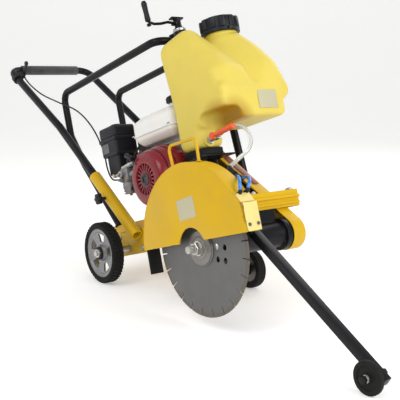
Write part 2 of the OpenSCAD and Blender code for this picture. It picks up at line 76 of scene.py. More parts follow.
def setCamera():
    view = {"x": 1.960, "y": -1.404, "z": 0.624, "turn": 51.847, "down": 9.238, "roll": -0.198,
            "lens": 67.7, "sensor": 36, "far": 60}
    a, e, r = (math.radians(view[k]) for k in ("turn", "down", "roll"))
    right = Vector((math.cos(a), math.sin(a), 0))
    ahead = Vector((-math.sin(a) * math.cos(e), math.cos(a) * math.cos(e), -math.sin(e)))
    up = right.cross(ahead)
    right = right * math.cos(r) + up * math.sin(r)
    up = right.cross(ahead)
    turn = Matrix((right, up, -ahead)).transposed().to_4x4()
    camera = link("camera", bpy.data.cameras.new("camera"))
    camera.data.lens, camera.data.sensor_width, camera.data.clip_end = view["lens"], view["sensor"], view["far"]
    place = (view["x"] + shiftX / 1000, view["y"] + shiftY / 1000, view["z"])
    camera.matrix_world = Matrix.Translation(place) @ turn
    bpy.context.scene.camera = camera


setCamera()
print("camera set")


# Materials.
class Value:  # one output socket that can be added to, scaled and so on
    def __init__(self, tree, socket):
        self.tree, self.socket = tree, socket

    def maths(self, operation, a, b):
        node = self.tree.nodes.new("ShaderNodeMath")
        node.operation = operation
        for slot, item in zip(node.inputs, (a, b)):
            if isinstance(item, Value):
                self.tree.links.new(item.socket, slot)
            else:
                slot.default_value = item
        return Value(self.tree, node.outputs[0])

    def __add__(self, other): return self.maths("ADD", self, other)
    def __radd__(self, other): return self.maths("ADD", other, self)
    def __sub__(self, other): return self.maths("SUBTRACT", self, other)
    def __rsub__(self, other): return self.maths("SUBTRACT", other, self)
    def __mul__(self, other): return self.maths("MULTIPLY", self, other)
    def __rmul__(self, other): return self.maths("MULTIPLY", other, self)
    def __gt__(self, other): return self.maths("GREATER_THAN", self, other)
    def __lt__(self, other): return self.maths("LESS_THAN", self, other)


class Finish:  # one material, with its shader's constants set straight on the shader
    def __init__(self, name, **constants):
        self.material = bpy.data.materials.new(name)
        self.material.use_nodes = True
        self.tree = self.material.node_tree
        self.shader = self.tree.nodes["Principled BSDF"]
        for key, value in constants.items():
            self.shader.inputs[key.replace("_", " ")].default_value = value
        self.place = self.make("ShaderNodeTexCoord", out="Object")

    def make(self, kind, settings=None, sockets=None, out=0):
        node = self.tree.nodes.new(kind)
        for key, value in (settings or {}).items():
            setattr(node, key, value)
        for key, value in (sockets or {}).items():
            if isinstance(value, Value):
                self.tree.links.new(value.socket, node.inputs[key])
            else:
                node.inputs[key].default_value = value
        return Value(self.tree, node.outputs[out])

    def noise(self, scale, detail=4, rough=0.55, stretch=None):
        where = self.place
        if stretch:
            where = self.make("ShaderNodeMapping", sockets={"Vector": where, "Scale": stretch})
        return self.make("ShaderNodeTexNoise", sockets={
            "Vector": where, "Scale": scale, "Detail": detail, "Roughness": rough})

    def spread(self, value, low, high):  # stretch a narrow band to a mask from 0 to 1
        return self.make("ShaderNodeMapRange", sockets={"Value": value, "From Min": low, "From Max": high})

    def mix(self, amount, a, b):
        node = self.tree.nodes.new("ShaderNodeMix")
        node.data_type = "RGBA"
        for slot, item in ((node.inputs[0], amount), (node.inputs[6], a), (node.inputs[7], b)):
            if isinstance(item, Value):
                self.tree.links.new(item.socket, slot)
            elif isinstance(item, (tuple, list)):
                slot.default_value = (*item, 1) if len(item) == 3 else item
            else:
                slot.default_value = item
        return Value(self.tree, node.outputs[2])

    def worn(self):  # 1 on bevelled edges, 0 elsewhere
        return self.make("ShaderNodeAttribute", {"attribute_name": "wear"}, out="Fac")

    def feed(self, socket, value):
        self.tree.links.new(value.socket, self.shader.inputs[socket])

    def bump(self, height, strength=0.2, distance=0.001):
        self.feed("Normal", self.make("ShaderNodeBump", sockets={
            "Height": height, "Strength": strength, "Distance": distance}))


def tint(colour, gain, lift=0):
    return tuple(min(1, c * gain + lift) for c in colour)


def paint(name, colour, under, dust, gloss=0.32, chips=0.62, dustAmount=0.35, ior=1.4, shine=0.5):
    f = Finish(name, IOR=ior, Coat_Roughness=0.2, Specular_IOR_Level=shine)
    broad, fine = f.noise(7, 5), f.noise(90, 6, 0.65)
    scuff = f.spread(f.noise(160, 5, 0.7, stretch=(1, 1, 0.2)), 0.62, 0.74)
    chip = f.spread(f.worn() * 0.32 + f.noise(55, 8, 0.7), chips + 0.16, chips + 0.2)
    spot = f.spread(f.noise(210, 3, 0.6), 0.73, 0.76)
    lower = f.make("ShaderNodeSeparateXYZ", sockets={"Vector": f.place}, out=2)
    dirt = f.spread(broad + fine * 0.5 - lower * 0.35, 0.62, 0.95) * dustAmount
    body = f.mix(f.spread(broad, 0.3, 0.7), colour, tint(colour, 0.88))
    body = f.mix(scuff * 0.25, body, tint(colour, 1.2, 0.015))
    body = f.mix(dirt, body, dust)
    bare = f.make("ShaderNodeMath", {"operation": "MAXIMUM"}, {0: chip, 1: spot * 0.7})
    f.feed("Base Color", f.mix(bare, body, under))
    f.feed("Roughness", gloss + fine * 0.12 + dirt * 0.5 + bare * 0.2 + scuff * 0.1)
    f.feed("Coat Weight", 0.12 - dirt * 0.12)
    f.bump(f.noise(520, 3) * 0.12 + f.noise(30, 3) * 0.25 - bare * 0.5, 0.35, 0.0006)
    return f.material


def moulded(name, colour, gloss=0.42, fleck=0.08, grain=420, scatter=0.0, haze=0.1, shine=0.5, paintedRecessShade=None):
    f = Finish(name, IOR=1.46, Subsurface_Weight=scatter, Subsurface_Scale=0.01, Specular_IOR_Level=shine)
    broad, fine = f.noise(6, 4), f.noise(grain, 4, 0.7)
    rubbed = f.spread(f.noise(70, 7, 0.72, stretch=(1, 1, 0.3)), 0.55, 0.75)
    body = f.mix(f.spread(broad, 0.3, 0.7), colour, tint(colour, 0.9))
    body = f.mix(rubbed * haze, body, tint(colour, 0.9, 0.1))
    body = f.mix(f.spread(f.worn() + fine * 0.6, 1.15, 1.5) * 0.35, body, tint(colour, 0.9, 0.07))
    if paintedRecessShade:  # painted shade: darker colour inside a moulded recess, standing in for the shadow that falls there
        reach = f.make("ShaderNodeVectorMath", {"operation": "DISTANCE"}, {0: f.place, 1: paintedRecessShade["centre"]},
                       out=1)
        body = f.mix(f.spread(reach, paintedRecessShade["near"], paintedRecessShade["far"]), paintedRecessShade["colour"], body)
    f.feed("Base Color", f.mix(fine * fleck, body, tint(colour, 0.45)))
    f.feed("Roughness", gloss + rubbed * 0.12 + fine * 0.1)
    f.bump(fine * 0.4 + f.noise(45, 3) * 0.3, 0.3, 0.0005)
    return f.material


def rubber(name, colour, dust, rough, dusty):
    f = Finish(name, IOR=1.5, Specular_IOR_Level=0.2)
    fine, broad = f.noise(300, 5, 0.7), f.noise(14, 5)
    film = f.spread(broad + fine * 0.4, 0.55, 0.95) * dusty
    film = f.make("ShaderNodeMath", {"operation": "MAXIMUM"}, {0: film, 1: f.worn() * fine * dusty})
    f.feed("Base Color", f.mix(film, f.mix(broad, colour, tint(colour, 0.7)), dust))
    f.feed("Roughness", rough + film * 0.3 + fine * 0.12)
    f.bump(fine, 0.35, 0.0005)
    return f.material


def foamSkin(name):
    f = Finish(name, IOR=1.4, Sheen_Weight=0.3, Sheen_Roughness=0.6)
    cells = f.make("ShaderNodeTexVoronoi", sockets={"Vector": f.place, "Scale": 900}, out="Distance")
    f.feed("Base Color", f.mix(f.spread(f.noise(22, 5), 0.4, 0.75), (0.022, 0.022, 0.024), (0.05, 0.05, 0.052)))
    f.feed("Roughness", 0.72 + f.noise(60, 4) * 0.2)
    f.bump(cells + f.noise(40, 3) * 0.6, 0.5, 0.0008)
    return f.material


def metal(name, colour, rough, stain, stainAmount=0.35, scale=60):
    f = Finish(name, Metallic=1.0)
    fine, broad = f.noise(scale * 5, 5, 0.7), f.noise(scale * 0.3, 6, 0.65)
    grime = f.spread(broad + fine * 0.3, 0.6, 0.95) * stainAmount
    body = f.mix(f.spread(fine, 0.3, 0.7), colour, tint(colour, 0.78))
    body = f.mix(f.worn() * 0.5, body, tint(colour, 1.3, 0.1))
    f.feed("Base Color", f.mix(grime, body, stain))
    f.feed("Roughness", rough + fine * 0.16 + grime * 0.5)
    f.feed("Metallic", 1 - grime * 0.8)
    f.bump(fine * 0.45, 0.3, 0.0004)
    return f.material


def castAlloy(name, colour, oilAmount=0.5):
    f, oil = Finish(name), (0.03, 0.025, 0.02)
    fine, broad = f.noise(380, 5, 0.75), f.noise(26, 6, 0.65)
    oily = f.spread(broad, 0.48, 0.7) * oilAmount
    f.feed("Base Color", f.mix(oily, f.mix(fine, colour, tint(colour, 0.65)), oil))
    f.feed("Metallic", 0.75 - oily * 0.7)
    f.feed("Roughness", 0.5 + fine * 0.15 - oily * 0.15)
    f.bump(fine + broad * 0.5, 0.5, 0.0006)
    return f.material


def turnedFace(name, colour, dark, ringScale, rough):  # rings round the spindle, which lies across
    f = Finish(name, Metallic=1.0)
    offset = f.make("ShaderNodeVectorMath", {"operation": "SUBTRACT"}, {0: f.place, 1: at(*spindleAt)})
    flat = f.make("ShaderNodeVectorMath", {"operation": "MULTIPLY"}, {0: offset, 1: (1, 0, 1)})
    radius = f.make("ShaderNodeVectorMath", {"operation": "LENGTH"}, {0: flat}, out="Value")
    rings = f.make("ShaderNodeTexNoise", {"noise_dimensions": "1D"}, {
        "W": radius + f.noise(8, 2) * 0.0008, "Scale": ringScale * 6, "Detail": 5, "Roughness": 0.7})
    broad, fine = f.noise(16, 6, 0.65), f.noise(420, 4, 0.7)
    haze = f.spread(broad + rings * 0.35, 0.55, 0.95) * 0.5
    body = f.mix(f.spread(rings, 0.3, 0.7), colour, dark)
    f.feed("Base Color", f.mix(haze, body, tint(dark, 0.8, 0.05)))
    f.feed("Roughness", rough + rings * 0.16 + haze * 0.3)
    f.feed("Metallic", 0.92 - haze * 0.5)
    f.bump(rings + fine * 0.25, 0.25, 0.0003)
    return f, radius


def bladeFinish():
    f, radius = turnedFace("bladeSteel", (0.19, 0.19, 0.19), (0.13, 0.128, 0.125), 240, 0.42)
    body = f.shader.inputs["Base Color"].links[0].from_socket
    rim = f.spread(radius, 0.1635, 0.1655)
    grit = f.noise(900, 3, 0.8)
    segment = f.mix(f.spread(grit, 0.35, 0.65), (0.11, 0.105, 0.1), (0.3, 0.27, 0.22))
    f.feed("Base Color", f.mix(rim, Value(f.tree, body), segment))
    f.feed("Roughness", 0.42 + rim * 0.3 + f.noise(30, 5) * 0.15)
    return f.material


def clearTube():
    f = Finish("clearVinyl", Transmission_Weight=0.72, IOR=1.42, Roughness=0.12)
    ribs = f.noise(300, 3)
    f.feed("Base Color", f.mix(f.noise(40, 4), (0.93, 0.95, 0.95), (0.80, 0.83, 0.80)))
    f.feed("Roughness", 0.1 + ribs * 0.18)
    f.bump(ribs, 0.15, 0.0004)
    return f.material


def blueTube():
    f = Finish("blueNylon", Transmission_Weight=0.15, IOR=1.45, Coat_Weight=0.3)
    f.feed("Base Color", f.mix(f.spread(f.noise(60, 4), 0.3, 0.7), (0.012, 0.17, 0.62), (0.03, 0.28, 0.78)))
    f.feed("Roughness", 0.2 + f.noise(220, 4) * 0.15)
    f.bump(f.noise(260, 3), 0.15, 0.0004)
    return f.material


concreteDust = (0.42, 0.39, 0.34)
primer = (0.09, 0.085, 0.08)
looks = {
    "yellowPaint": paint("yellowPaint", (0.66, 0.40, 0.004), primer, concreteDust, 0.36, 0.7, 0.08, ior=1.3,
                         shine=0.35),
    "labelPlastic": moulded("labelPlastic", (0.50, 0.46, 0.30), 0.4, 0.05, 500, 0, 0.1),
    # a lighter copy of the yellow paint: painted highlight for the front-lit face of the guard
    "yellowPale": paint("yellowPale", (0.80, 0.64, 0.22), primer, concreteDust, 0.4, 0.72, 0.2),
    "blackPaint": paint("blackPaint", (0.006, 0.006, 0.008), (0.08, 0.075, 0.07), (0.12, 0.115, 0.105), 0.26,
                        0.72, 0.04, ior=1.3, shine=0.25),
    "redPaint": paint("redPaint", (0.20, 0.006, 0.014), (0.05, 0.04, 0.04), (0.16, 0.12, 0.1), 0.2, 0.68, 0.2),
    "rimPaint": metal("rimPaint", (0.30, 0.30, 0.305), 0.32, (0.16, 0.15, 0.14), 0.5, 40),
    # the tank plastic carries painted shade: a darker brown painted into the apron recess in place of its
    # shadow
    "tankPlastic": moulded("tankPlastic", (0.71, 0.565, 0.09), 0.46, 0.05, 500, 0.12, 0.1, paintedRecessShade={
        "centre": at(515, -96, 282), "near": 0.045, "far": 0.08, "colour": (0.42, 0.22, 0.004)}),
    "blackPlastic": moulded("blackPlastic", (0.009, 0.010, 0.014), 0.36, 0.3, 600, 0, 0.03, shine=0.3),
    # cream plastic, partly its own colour and partly painted light: set lighter to offset the shade on the
    # lower fuel tank
    "creamPlastic": moulded("creamPlastic", (0.86, 0.82, 0.75), 0.3, 0.05, 500, 0.1, 0.05),
    "whitePlastic": moulded("whitePlastic", (0.82, 0.81, 0.77), 0.28, 0.04, 500, 0.1, 0.05),
    "orangePlastic": moulded("orangePlastic", (0.82, 0.10, 0.012), 0.3, 0.05, 500, 0.05, 0.05),
    "tyreRubber": rubber("tyreRubber", (0.004, 0.004, 0.0042), (0.07, 0.064, 0.056), 0.6, 0.14),
    "softRubber": rubber("softRubber", (0.006, 0.006, 0.006), (0.08, 0.075, 0.065), 0.6, 0.14),
    "foam": foamSkin("foamSkin"),
    "steel": metal("zincSteel", (0.58, 0.57, 0.54), 0.24, (0.16, 0.13, 0.09), 0.3),
    "darkSteel": metal("darkSteel", (0.2, 0.2, 0.2), 0.34, (0.06, 0.05, 0.04), 0.4),
    "brass": metal("brassFitting", (0.62, 0.42, 0.16), 0.28, (0.12, 0.08, 0.03), 0.4),
    "exhaust": metal("heatedSteel", (0.16, 0.14, 0.12), 0.5, (0.07, 0.04, 0.025), 0.7),
    "alloy": castAlloy("castAlloy", (0.36, 0.36, 0.37)),
    "darkAlloy": castAlloy("darkAlloy", (0.10, 0.10, 0.105), oilAmount=0.6),
    "flange": turnedFace("flangeSteel", (0.30, 0.29, 0.27), (0.17, 0.16, 0.15), 420, 0.28)[0].material,
    "blade": bladeFinish(),
    "clear": clearTube(),
    "blue": blueTube(),
}
print("finishes made:", len(looks))


# Mesh helpers, in machine millimetres until keep() moves a piece into the frame.
def release(bm, name):  # a mesh made from bm, which is then freed
    mesh = bpy.data.meshes.new(name)
    bm.to_mesh(mesh)
    bm.free()
    return mesh


def keep(name, bm, body, look, hides=(), crease=38, turn=None):
    bm.transform(toFrame @ turn if turn else toFrame)
    keepMesh(name, release(bm, name), body, look, hides, crease)


def keepMesh(name, mesh, body, look, hides=(), crease=38):
    mesh.name = name
    mesh.materials.clear()
    mesh.materials.append(looks[look])
    mesh.shade_smooth()
    mesh.set_sharp_from_angle(angle=math.radians(crease))
    piece = link(name, mesh)
    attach(piece, body)
    if hides:
        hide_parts(hides)


def keepSoft(name, bm, look):
    bm.transform(toFrame)
    mesh = release(bm, name)
    mesh.materials.append(looks[look])
    mesh.shade_smooth()
    piece = link(name, mesh)
    return piece


def tubePoints(points, rounds):  # smooth curve through the points
    p = [Vector(q) for q in points]
    out = []
    for i in range(len(p) - 1):
        a, b, c, d = p[max(i - 1, 0)], p[i], p[i + 1], p[min(i + 2, len(p) - 1)]
        for j in range(rounds):
            t = j / rounds
            out.append(0.5 * (2 * b + (c - a) * t + (2 * a - 5 * b + 4 * c - d) * t * t
                              + (3 * b - a - 3 * c + d) * t ** 3))
    return out + [p[-1]]


def bend(points, radius):  # straight runs with round corners
    p, steps = [Vector(q) for q in points], 8
    out = [p[0]]
    for a, b, c in zip(p, p[1:], p[2:]):
        u, v = (b - a).normalized(), (c - b).normalized()
        angle = u.angle(v)
        cut = radius * math.tan(angle / 2)
        inward = (v - u * u.dot(v)).normalized()
        centre = b - u * cut + inward * radius
        for i in range(steps + 1):
            t = angle * i / steps
            out.append(centre + radius * (math.sin(t) * u - math.cos(t) * inward))
    return out + [p[-1]]


def tube(bm, points, radius, sides, loop=False):
    p = [Vector(q) for q in points]
    n = len(p)
    rings, normal = [], None
    for i in range(n):
        before, after = p[(i - 1) % n if loop else max(i - 1, 0)], p[(i + 1) % n if loop else min(i + 1, n - 1)]
        heading = (after - before).normalized()
        if normal is None:
            normal = heading.orthogonal().normalized()
        normal = (normal - heading * normal.dot(heading)).normalized()
        across = heading.cross(normal)
        r = radius[i] if isinstance(radius, (list, tuple)) else radius
        rings.append([bm.verts.new(p[i] + r * (math.cos(a) * normal + math.sin(a) * across))
                      for a in (2 * math.pi * j / sides for j in range(sides))])
    for i in range(n if loop else n - 1):
        a, b = rings[i], rings[(i + 1) % n]
        for j in range(sides):
            bm.faces.new((a[j], a[(j + 1) % sides], b[(j + 1) % sides], b[j]))
    if not loop:
        bm.faces.new(rings[0][::-1])
        bm.faces.new(rings[-1])


# (radius, height) points, bottom first; a radius of 0 closes the end
def lathe(bm, profile, centre, axis, sides=64):
    turn = Vector(axisUp).rotation_difference(Vector(axis)).to_matrix()
    rings = []
    for radius, height in profile:
        if radius < 1e-6:
            rings.append([bm.verts.new(Vector(centre) + turn @ Vector((0, 0, height)))])
        else:
            rings.append([bm.verts.new(Vector(centre) + turn @ Vector((radius * math.cos(a),
                                                                       radius * math.sin(a), height)))
                          for a in (2 * math.pi * j / sides for j in range(sides))])
    closed = profile[0] == profile[-1]
    if closed:
        for v in rings.pop():
            bm.verts.remove(v)
    for i in range(len(rings) if closed else len(rings) - 1):
        a, b = rings[i], rings[(i + 1) % len(rings)]
        for j in range(sides):
            k = (j + 1) % sides
            if len(a) == 1:
                bm.faces.new((a[0], b[k], b[j])) if len(b) > 1 else None
            elif len(b) == 1:
                bm.faces.new((a[j], a[k], b[0]))
            else:
                bm.faces.new((a[j], a[k], b[k], b[j]))


def roundEdges(bm, width, angle=25, segments=2):
    wear = bm.faces.layers.float.get("wear") or bm.faces.layers.float.new("wear")
    edges = [e for e in bm.edges if len(e.link_faces) == 2 and e.calc_face_angle(0) > math.radians(angle)]
    if edges:
        made = bmesh.ops.bevel(bm, geom=edges, offset=width, segments=segments, profile=0.6,
                               affect="EDGES", clamp_overlap=True)
        for face in made["faces"]:
            face[wear] = 1.0


def block(bm, low, high, edge=1.5, turn=None, segments=2):
    part = bmesh.new()
    bmesh.ops.create_cube(part, size=1)
    size = Vector(high) - Vector(low)
    part.transform(Matrix.Translation((Vector(low) + Vector(high)) / 2) @ Matrix.Diagonal((*size, 1)))
    if edge:
        roundEdges(part, edge, segments=segments)
    if turn:
        part.transform(turn)
    merge(bm, part)


def prism(corners, shift):  # a flat outline swept by shift
    part = bmesh.new()
    face = part.faces.new([part.verts.new(corner) for corner in corners])
    far = bmesh.ops.extrude_face_region(part, geom=[face])
    bmesh.ops.translate(part, vec=shift, verts=[v for v in far["geom"] if isinstance(v, bmesh.types.BMVert)])
    bmesh.ops.recalc_face_normals(part, faces=part.faces)
    return part


def plate(bm, outline, y0, y1, edge):  # an (x, z) outline between two y faces
    part = prism([(x, y0, z) for x, z in outline], (0, y1 - y0, 0))
    if edge:
        roundEdges(part, edge)
    merge(bm, part)


def merge(bm, part):
    for each in (part, bm):
        if each.faces.layers.float.get("wear") is None:
            each.faces.layers.float.new("wear")
    mesh = release(part, "temporary")
    bm.from_mesh(mesh)
    bpy.data.meshes.remove(mesh)


def dress(node, body, look, width, segments=2):  # a CAD solid with softened, worn edges
    mesh = frame["nodes"][node].data.copy()
    bm = bmesh.new()
    bm.from_mesh(mesh)
    bmesh.ops.remove_doubles(bm, verts=bm.verts, dist=2e-5)
    bmesh.ops.dissolve_degenerate(bm, edges=bm.edges, dist=1e-5)
    bmesh.ops.dissolve_limit(bm, angle_limit=math.radians(0.6), verts=bm.verts, edges=bm.edges)
    if width:
        roundEdges(bm, width / 1000, 28, segments)
    bm.to_mesh(mesh)
    bm.free()
    keepMesh(node + "Skin", mesh, body, look, node)


# Geometry Nodes trees for what repeats.
class Tree:
    def __init__(self, name, numbers):
        self.tree = bpy.data.node_groups.new(name, "GeometryNodeTree")
        face = self.tree.interface
        face.new_socket("Geometry", in_out="INPUT", socket_type="NodeSocketGeometry")
        self.keys = {n: face.new_socket(n, in_out="INPUT", socket_type=kind).identifier
                     for n, kind in numbers.items()}
        self.keys["Material"] = face.new_socket("Material", in_out="INPUT",
                                                socket_type="NodeSocketMaterial").identifier
        face.new_socket("Geometry", in_out="OUTPUT", socket_type="NodeSocketGeometry")
        self.given = self.tree.nodes.new("NodeGroupInput")

    def input(self, name):
        return Value(self.tree, self.given.outputs[name])

    def make(self, kind, settings=None, sockets=None, out=0):
        return Finish.make(self, kind, settings, sockets, out)

    def close(self, shape):
        real = self.make("GeometryNodeRealizeInstances", sockets={"Geometry": shape})
        done = self.make("GeometryNodeSetMaterial", sockets={"Geometry": real,
                                                             "Material": self.input("Material")})
        self.tree.links.new(done.socket, self.tree.nodes.new("NodeGroupOutput").inputs[0])
        return self


def ringTree():  # copies of the given shape, turned round Z
    t = Tree("ringOfParts", {"Count": "NodeSocketInt"})
    step = t.make("ShaderNodeMath", {"operation": "DIVIDE"}, {0: 2 * math.pi, 1: t.input("Count")})
    angle = t.make("GeometryNodeInputIndex") * step
    turn = t.make("ShaderNodeCombineXYZ", sockets={"Z": angle})
    points = t.make("GeometryNodePoints", sockets={"Count": t.input("Count")})
    return t.close(t.make("GeometryNodeInstanceOnPoints", sockets={
        "Points": points, "Instance": t.input("Geometry"), "Rotation": turn}))


def rowTree():  # copies of the given shape, one Step apart
    t = Tree("rowOfParts", {"Count": "NodeSocketInt", "Step": "NodeSocketVector"})
    line = t.make("GeometryNodeMeshLine", sockets={"Count": t.input("Count"), "Offset": t.input("Step")})
    return t.close(t.make("GeometryNodeInstanceOnPoints", sockets={
        "Points": line, "Instance": t.input("Geometry")}))


def boltTree():  # washer, hexagon and thread end on each point, along its own aim
    t = Tree("boltsOnPoints", {"Thread": "NodeSocketFloat", "Washer": "NodeSocketFloat"})

    def disc(corners, low, high, height, lift):
        shape = t.make("GeometryNodeMeshCone", sockets={
            "Vertices": corners, "Radius Top": high, "Radius Bottom": low, "Depth": height})
        return t.make("GeometryNodeTransform", sockets={"Geometry": shape, "Translation": (0, 0, lift)})

    parts = [disc(28, t.input("Washer"), t.input("Washer"), 0.14, 0), disc(6, 0.86, 0.86, 0.46, 0.14),
             disc(6, 0.86, 0.7, 0.102, 0.598), disc(16, t.input("Thread"), t.input("Thread") * 0.86, 0.24, 0.7)]
    joined = t.tree.nodes.new("GeometryNodeJoinGeometry")
    for part in parts:
        t.tree.links.new(part.socket, joined.inputs[0])
    aim = t.make("GeometryNodeInputNamedAttribute", {"data_type": "FLOAT_VECTOR"}, {"Name": "aim"})
    size = t.make("GeometryNodeInputNamedAttribute", {"data_type": "FLOAT"}, {"Name": "size"})
    turn = t.make("FunctionNodeAlignRotationToVector", {"axis": "Z"}, {"Vector": aim})
    return t.close(t.make("GeometryNodeInstanceOnPoints", sockets={
        "Points": t.input("Geometry"), "Instance": Value(t.tree, joined.outputs[0]), "Rotation": turn,
        "Scale": size}))


trees = {"ring": ringTree(), "row": rowTree(), "bolts": boltTree()}


def grow(bm, tree, look, **numbers):  # run a tree on a mesh and give the plain result back
    return growMesh(release(bm, "seed"), tree, look, **numbers)


def growMesh(mesh, tree, look, **numbers):
    seed = link("seed", mesh)
    step = seed.modifiers.new("grow", "NODES")
    step.node_group = trees[tree].tree
    for name, number in numbers.items():
        step[trees[tree].keys[name]] = number
    step[trees[tree].keys["Material"]] = looks[look]
    made = bpy.data.meshes.new_from_object(seed.evaluated_get(bpy.context.evaluated_depsgraph_get()))
    seed.modifiers.remove(step)
    bpy.data.objects.remove(seed)
    bm = bmesh.new()
    bm.from_mesh(made)
    bpy.data.meshes.remove(made)
    return bm


def around(bm, feature, centre, axis, count):  # a feature built at the origin, repeated round an axis
    part = grow(feature, "ring", "steel", Count=count)
    turn = Vector(axisUp).rotation_difference(Vector(axis)).to_matrix().to_4x4()
    part.transform(Matrix.Translation(centre) @ turn)
    merge(bm, part)


def blockRing(bm, low, high, edge, centre, axis, count, turn=None, segments=2):
    part = bmesh.new()
    block(part, low, high, edge, turn, segments)
    around(bm, part, centre, axis, count)


def blockRow(bm, low, high, edge, look, count, step):
    part = bmesh.new()
    block(part, low, high, edge)
    merge(bm, grow(part, "row", look, Count=count, Step=step))


def bolts(name, places, body, look="steel", thread=0.42, washer=1.12):
    mesh = bpy.data.meshes.new("boltPoints")  # places: (point, aim, size in mm)
    mesh.from_pydata([p for p, _, _ in places], [], [])
    mesh.attributes.new("aim", "FLOAT_VECTOR", "POINT")
    mesh.attributes.new("size", "FLOAT", "POINT")
    for i, (_, aim, size) in enumerate(places):
        mesh.attributes["aim"].data[i].vector = aim
        mesh.attributes["size"].data[i].value = size
    keep(name, growMesh(mesh, "bolts", look, Thread=thread, Washer=washer), body, look, crease=30)


def hull(bm, balls, detail=3):  # tight skin over a set of balls (x, y, z, radius)
    part = bmesh.new()
    for x, y, z, r in balls:
        bmesh.ops.create_icosphere(part, subdivisions=detail, radius=r, matrix=Matrix.Translation((x, y, z)))
    skin = bmesh.ops.convex_hull(part, input=part.verts)
    inside = {e for e in skin["geom_interior"] + skin["geom_unused"] if isinstance(e, bmesh.types.BMVert)}
    bmesh.ops.delete(part, geom=list(inside), context="VERTS")
    merge(bm, part)


def sculpt(bm, steps, cutter=None):  # run modifiers on a loose copy
    clay = link("clay", release(bm, "clay"))
    tool = link("tool", release(cutter, "tool")) if cutter else None
    for kind, settings in steps:
        step = clay.modifiers.new(kind, kind)
        for key, value in settings.items():
            setattr(step, key, value)
        if kind == "BOOLEAN":
            step.object = tool
    made = bpy.data.meshes.new_from_object(clay.evaluated_get(bpy.context.evaluated_depsgraph_get()))
    clay.modifiers.clear()
    bpy.data.objects.remove(clay)
    if tool:
        bpy.data.objects.remove(tool)
    out = bmesh.new()
    out.from_mesh(made)
    bpy.data.meshes.remove(made)
    return out


def coil(bm, points, radius, turns, wire):  # a spring along a straight line
    a, b, steps = Vector(points[0]), Vector(points[1]), 14
    line = (b - a).normalized()
    u = line.orthogonal().normalized()
    v = line.cross(u)
    n = int(turns * steps)
    tube(bm, [a + (b - a) * i / n + radius * (math.cos(2 * math.pi * i / steps) * u
              + math.sin(2 * math.pi * i / steps) * v) for i in range(n + 1)], wire, 8)


def weld(bm, centre, axis, radius, bead=2.2, beads=26):  # a rippled fillet round a tube's foot
    line = Vector(axis).normalized()
    u = line.orthogonal().normalized()
    v = line.cross(u)
    n = beads * 4
    rough = random.Random(beads * 7 + int(radius))
    tube(bm, [Vector(centre) + radius * (math.cos(t) * u + math.sin(t) * v) for t in
              (2 * math.pi * i / n for i in range(n))],
         [bead * (0.86 + 0.2 * math.sin(i * math.pi / 2) + rough.uniform(-0.05, 0.05)) for i in range(n)], 8,
         loop=True)


# Sheet, tube and machined pieces are their own solids with softened edges.
dressed = {  # node: (body, slot, look, edge width in mm)
    "deck": ("frame", "yellow_paint", "yellowPaint", 1.2),
    "axle_boxes": ("frame", "yellow_paint", "yellowPaint", 2.0),
    "rear_axle": ("frame", "bright_steel", "steel", 0.8),
    "tank_shelf": ("frame", "black_paint", "blackPaint", 1.0),
    "guard_arm": ("frame", "black_paint", "blackPaint", 1.0),
    "bearing_housing": ("frame", "black_paint", "blackPaint", 1.2),
    "crankcase": ("frame", "alloy", "alloy", 0),
    "muffler": ("frame", "exhaust", "exhaust", 4.0),
    "carriage_frame": ("carriage", "black_paint", "blackPaint", 1.2),
    "push_rod": ("push_rod", "bright_steel", "steel", 0.8),
    "spindle_shaft": ("spindle", "bright_steel", "steel", 0.8),
    "drive_pulley": ("crankshaft", "bright_steel", "darkSteel", 0.6),
    "driven_pulley": ("spindle", "bright_steel", "darkSteel", 0.6),
    "drive_belt": ("frame", "rubber", "softRubber", 0.5),
    "screw_column": ("frame", "black_paint", "blackPaint", 0),
    "hoop_frame": ("frame", "black_paint", "blackPaint", 0),
    "handlebar": ("handle", "black_paint", "blackPaint", 0),
    "handle_sockets": ("frame", "yellow_paint", "yellowPaint", 1.6),
    "blade_guard": ("frame", "yellow_paint", "yellowPaint", 0.8),
    "guard_bail": ("frame", "yellow_paint", "yellowPaint", 0),
    "splash_flap": ("frame", "rubber", "softRubber", 0.8),
    "belt_guard": ("frame", "yellow_paint", "yellowPaint", 1.0),
    "pointer_bar": ("pointer", "black_paint", "blackPaint", 1.2),
    "recoil_grip": ("starter_grip", "black_plastic", "blackPlastic", 1.0),
    "choke_lever": ("choke_lever", "bright_steel", "steel", 0.4),
    "axle_nuts": ("frame", "bright_steel", "steel", 0.8),
    "engine_bolts": ("frame", "bright_steel", "steel", 0.5),
}
for node, (body, slot, look, width) in dressed.items():
    dress(node, body, look, width)
print("solids dressed:", len(dressed))


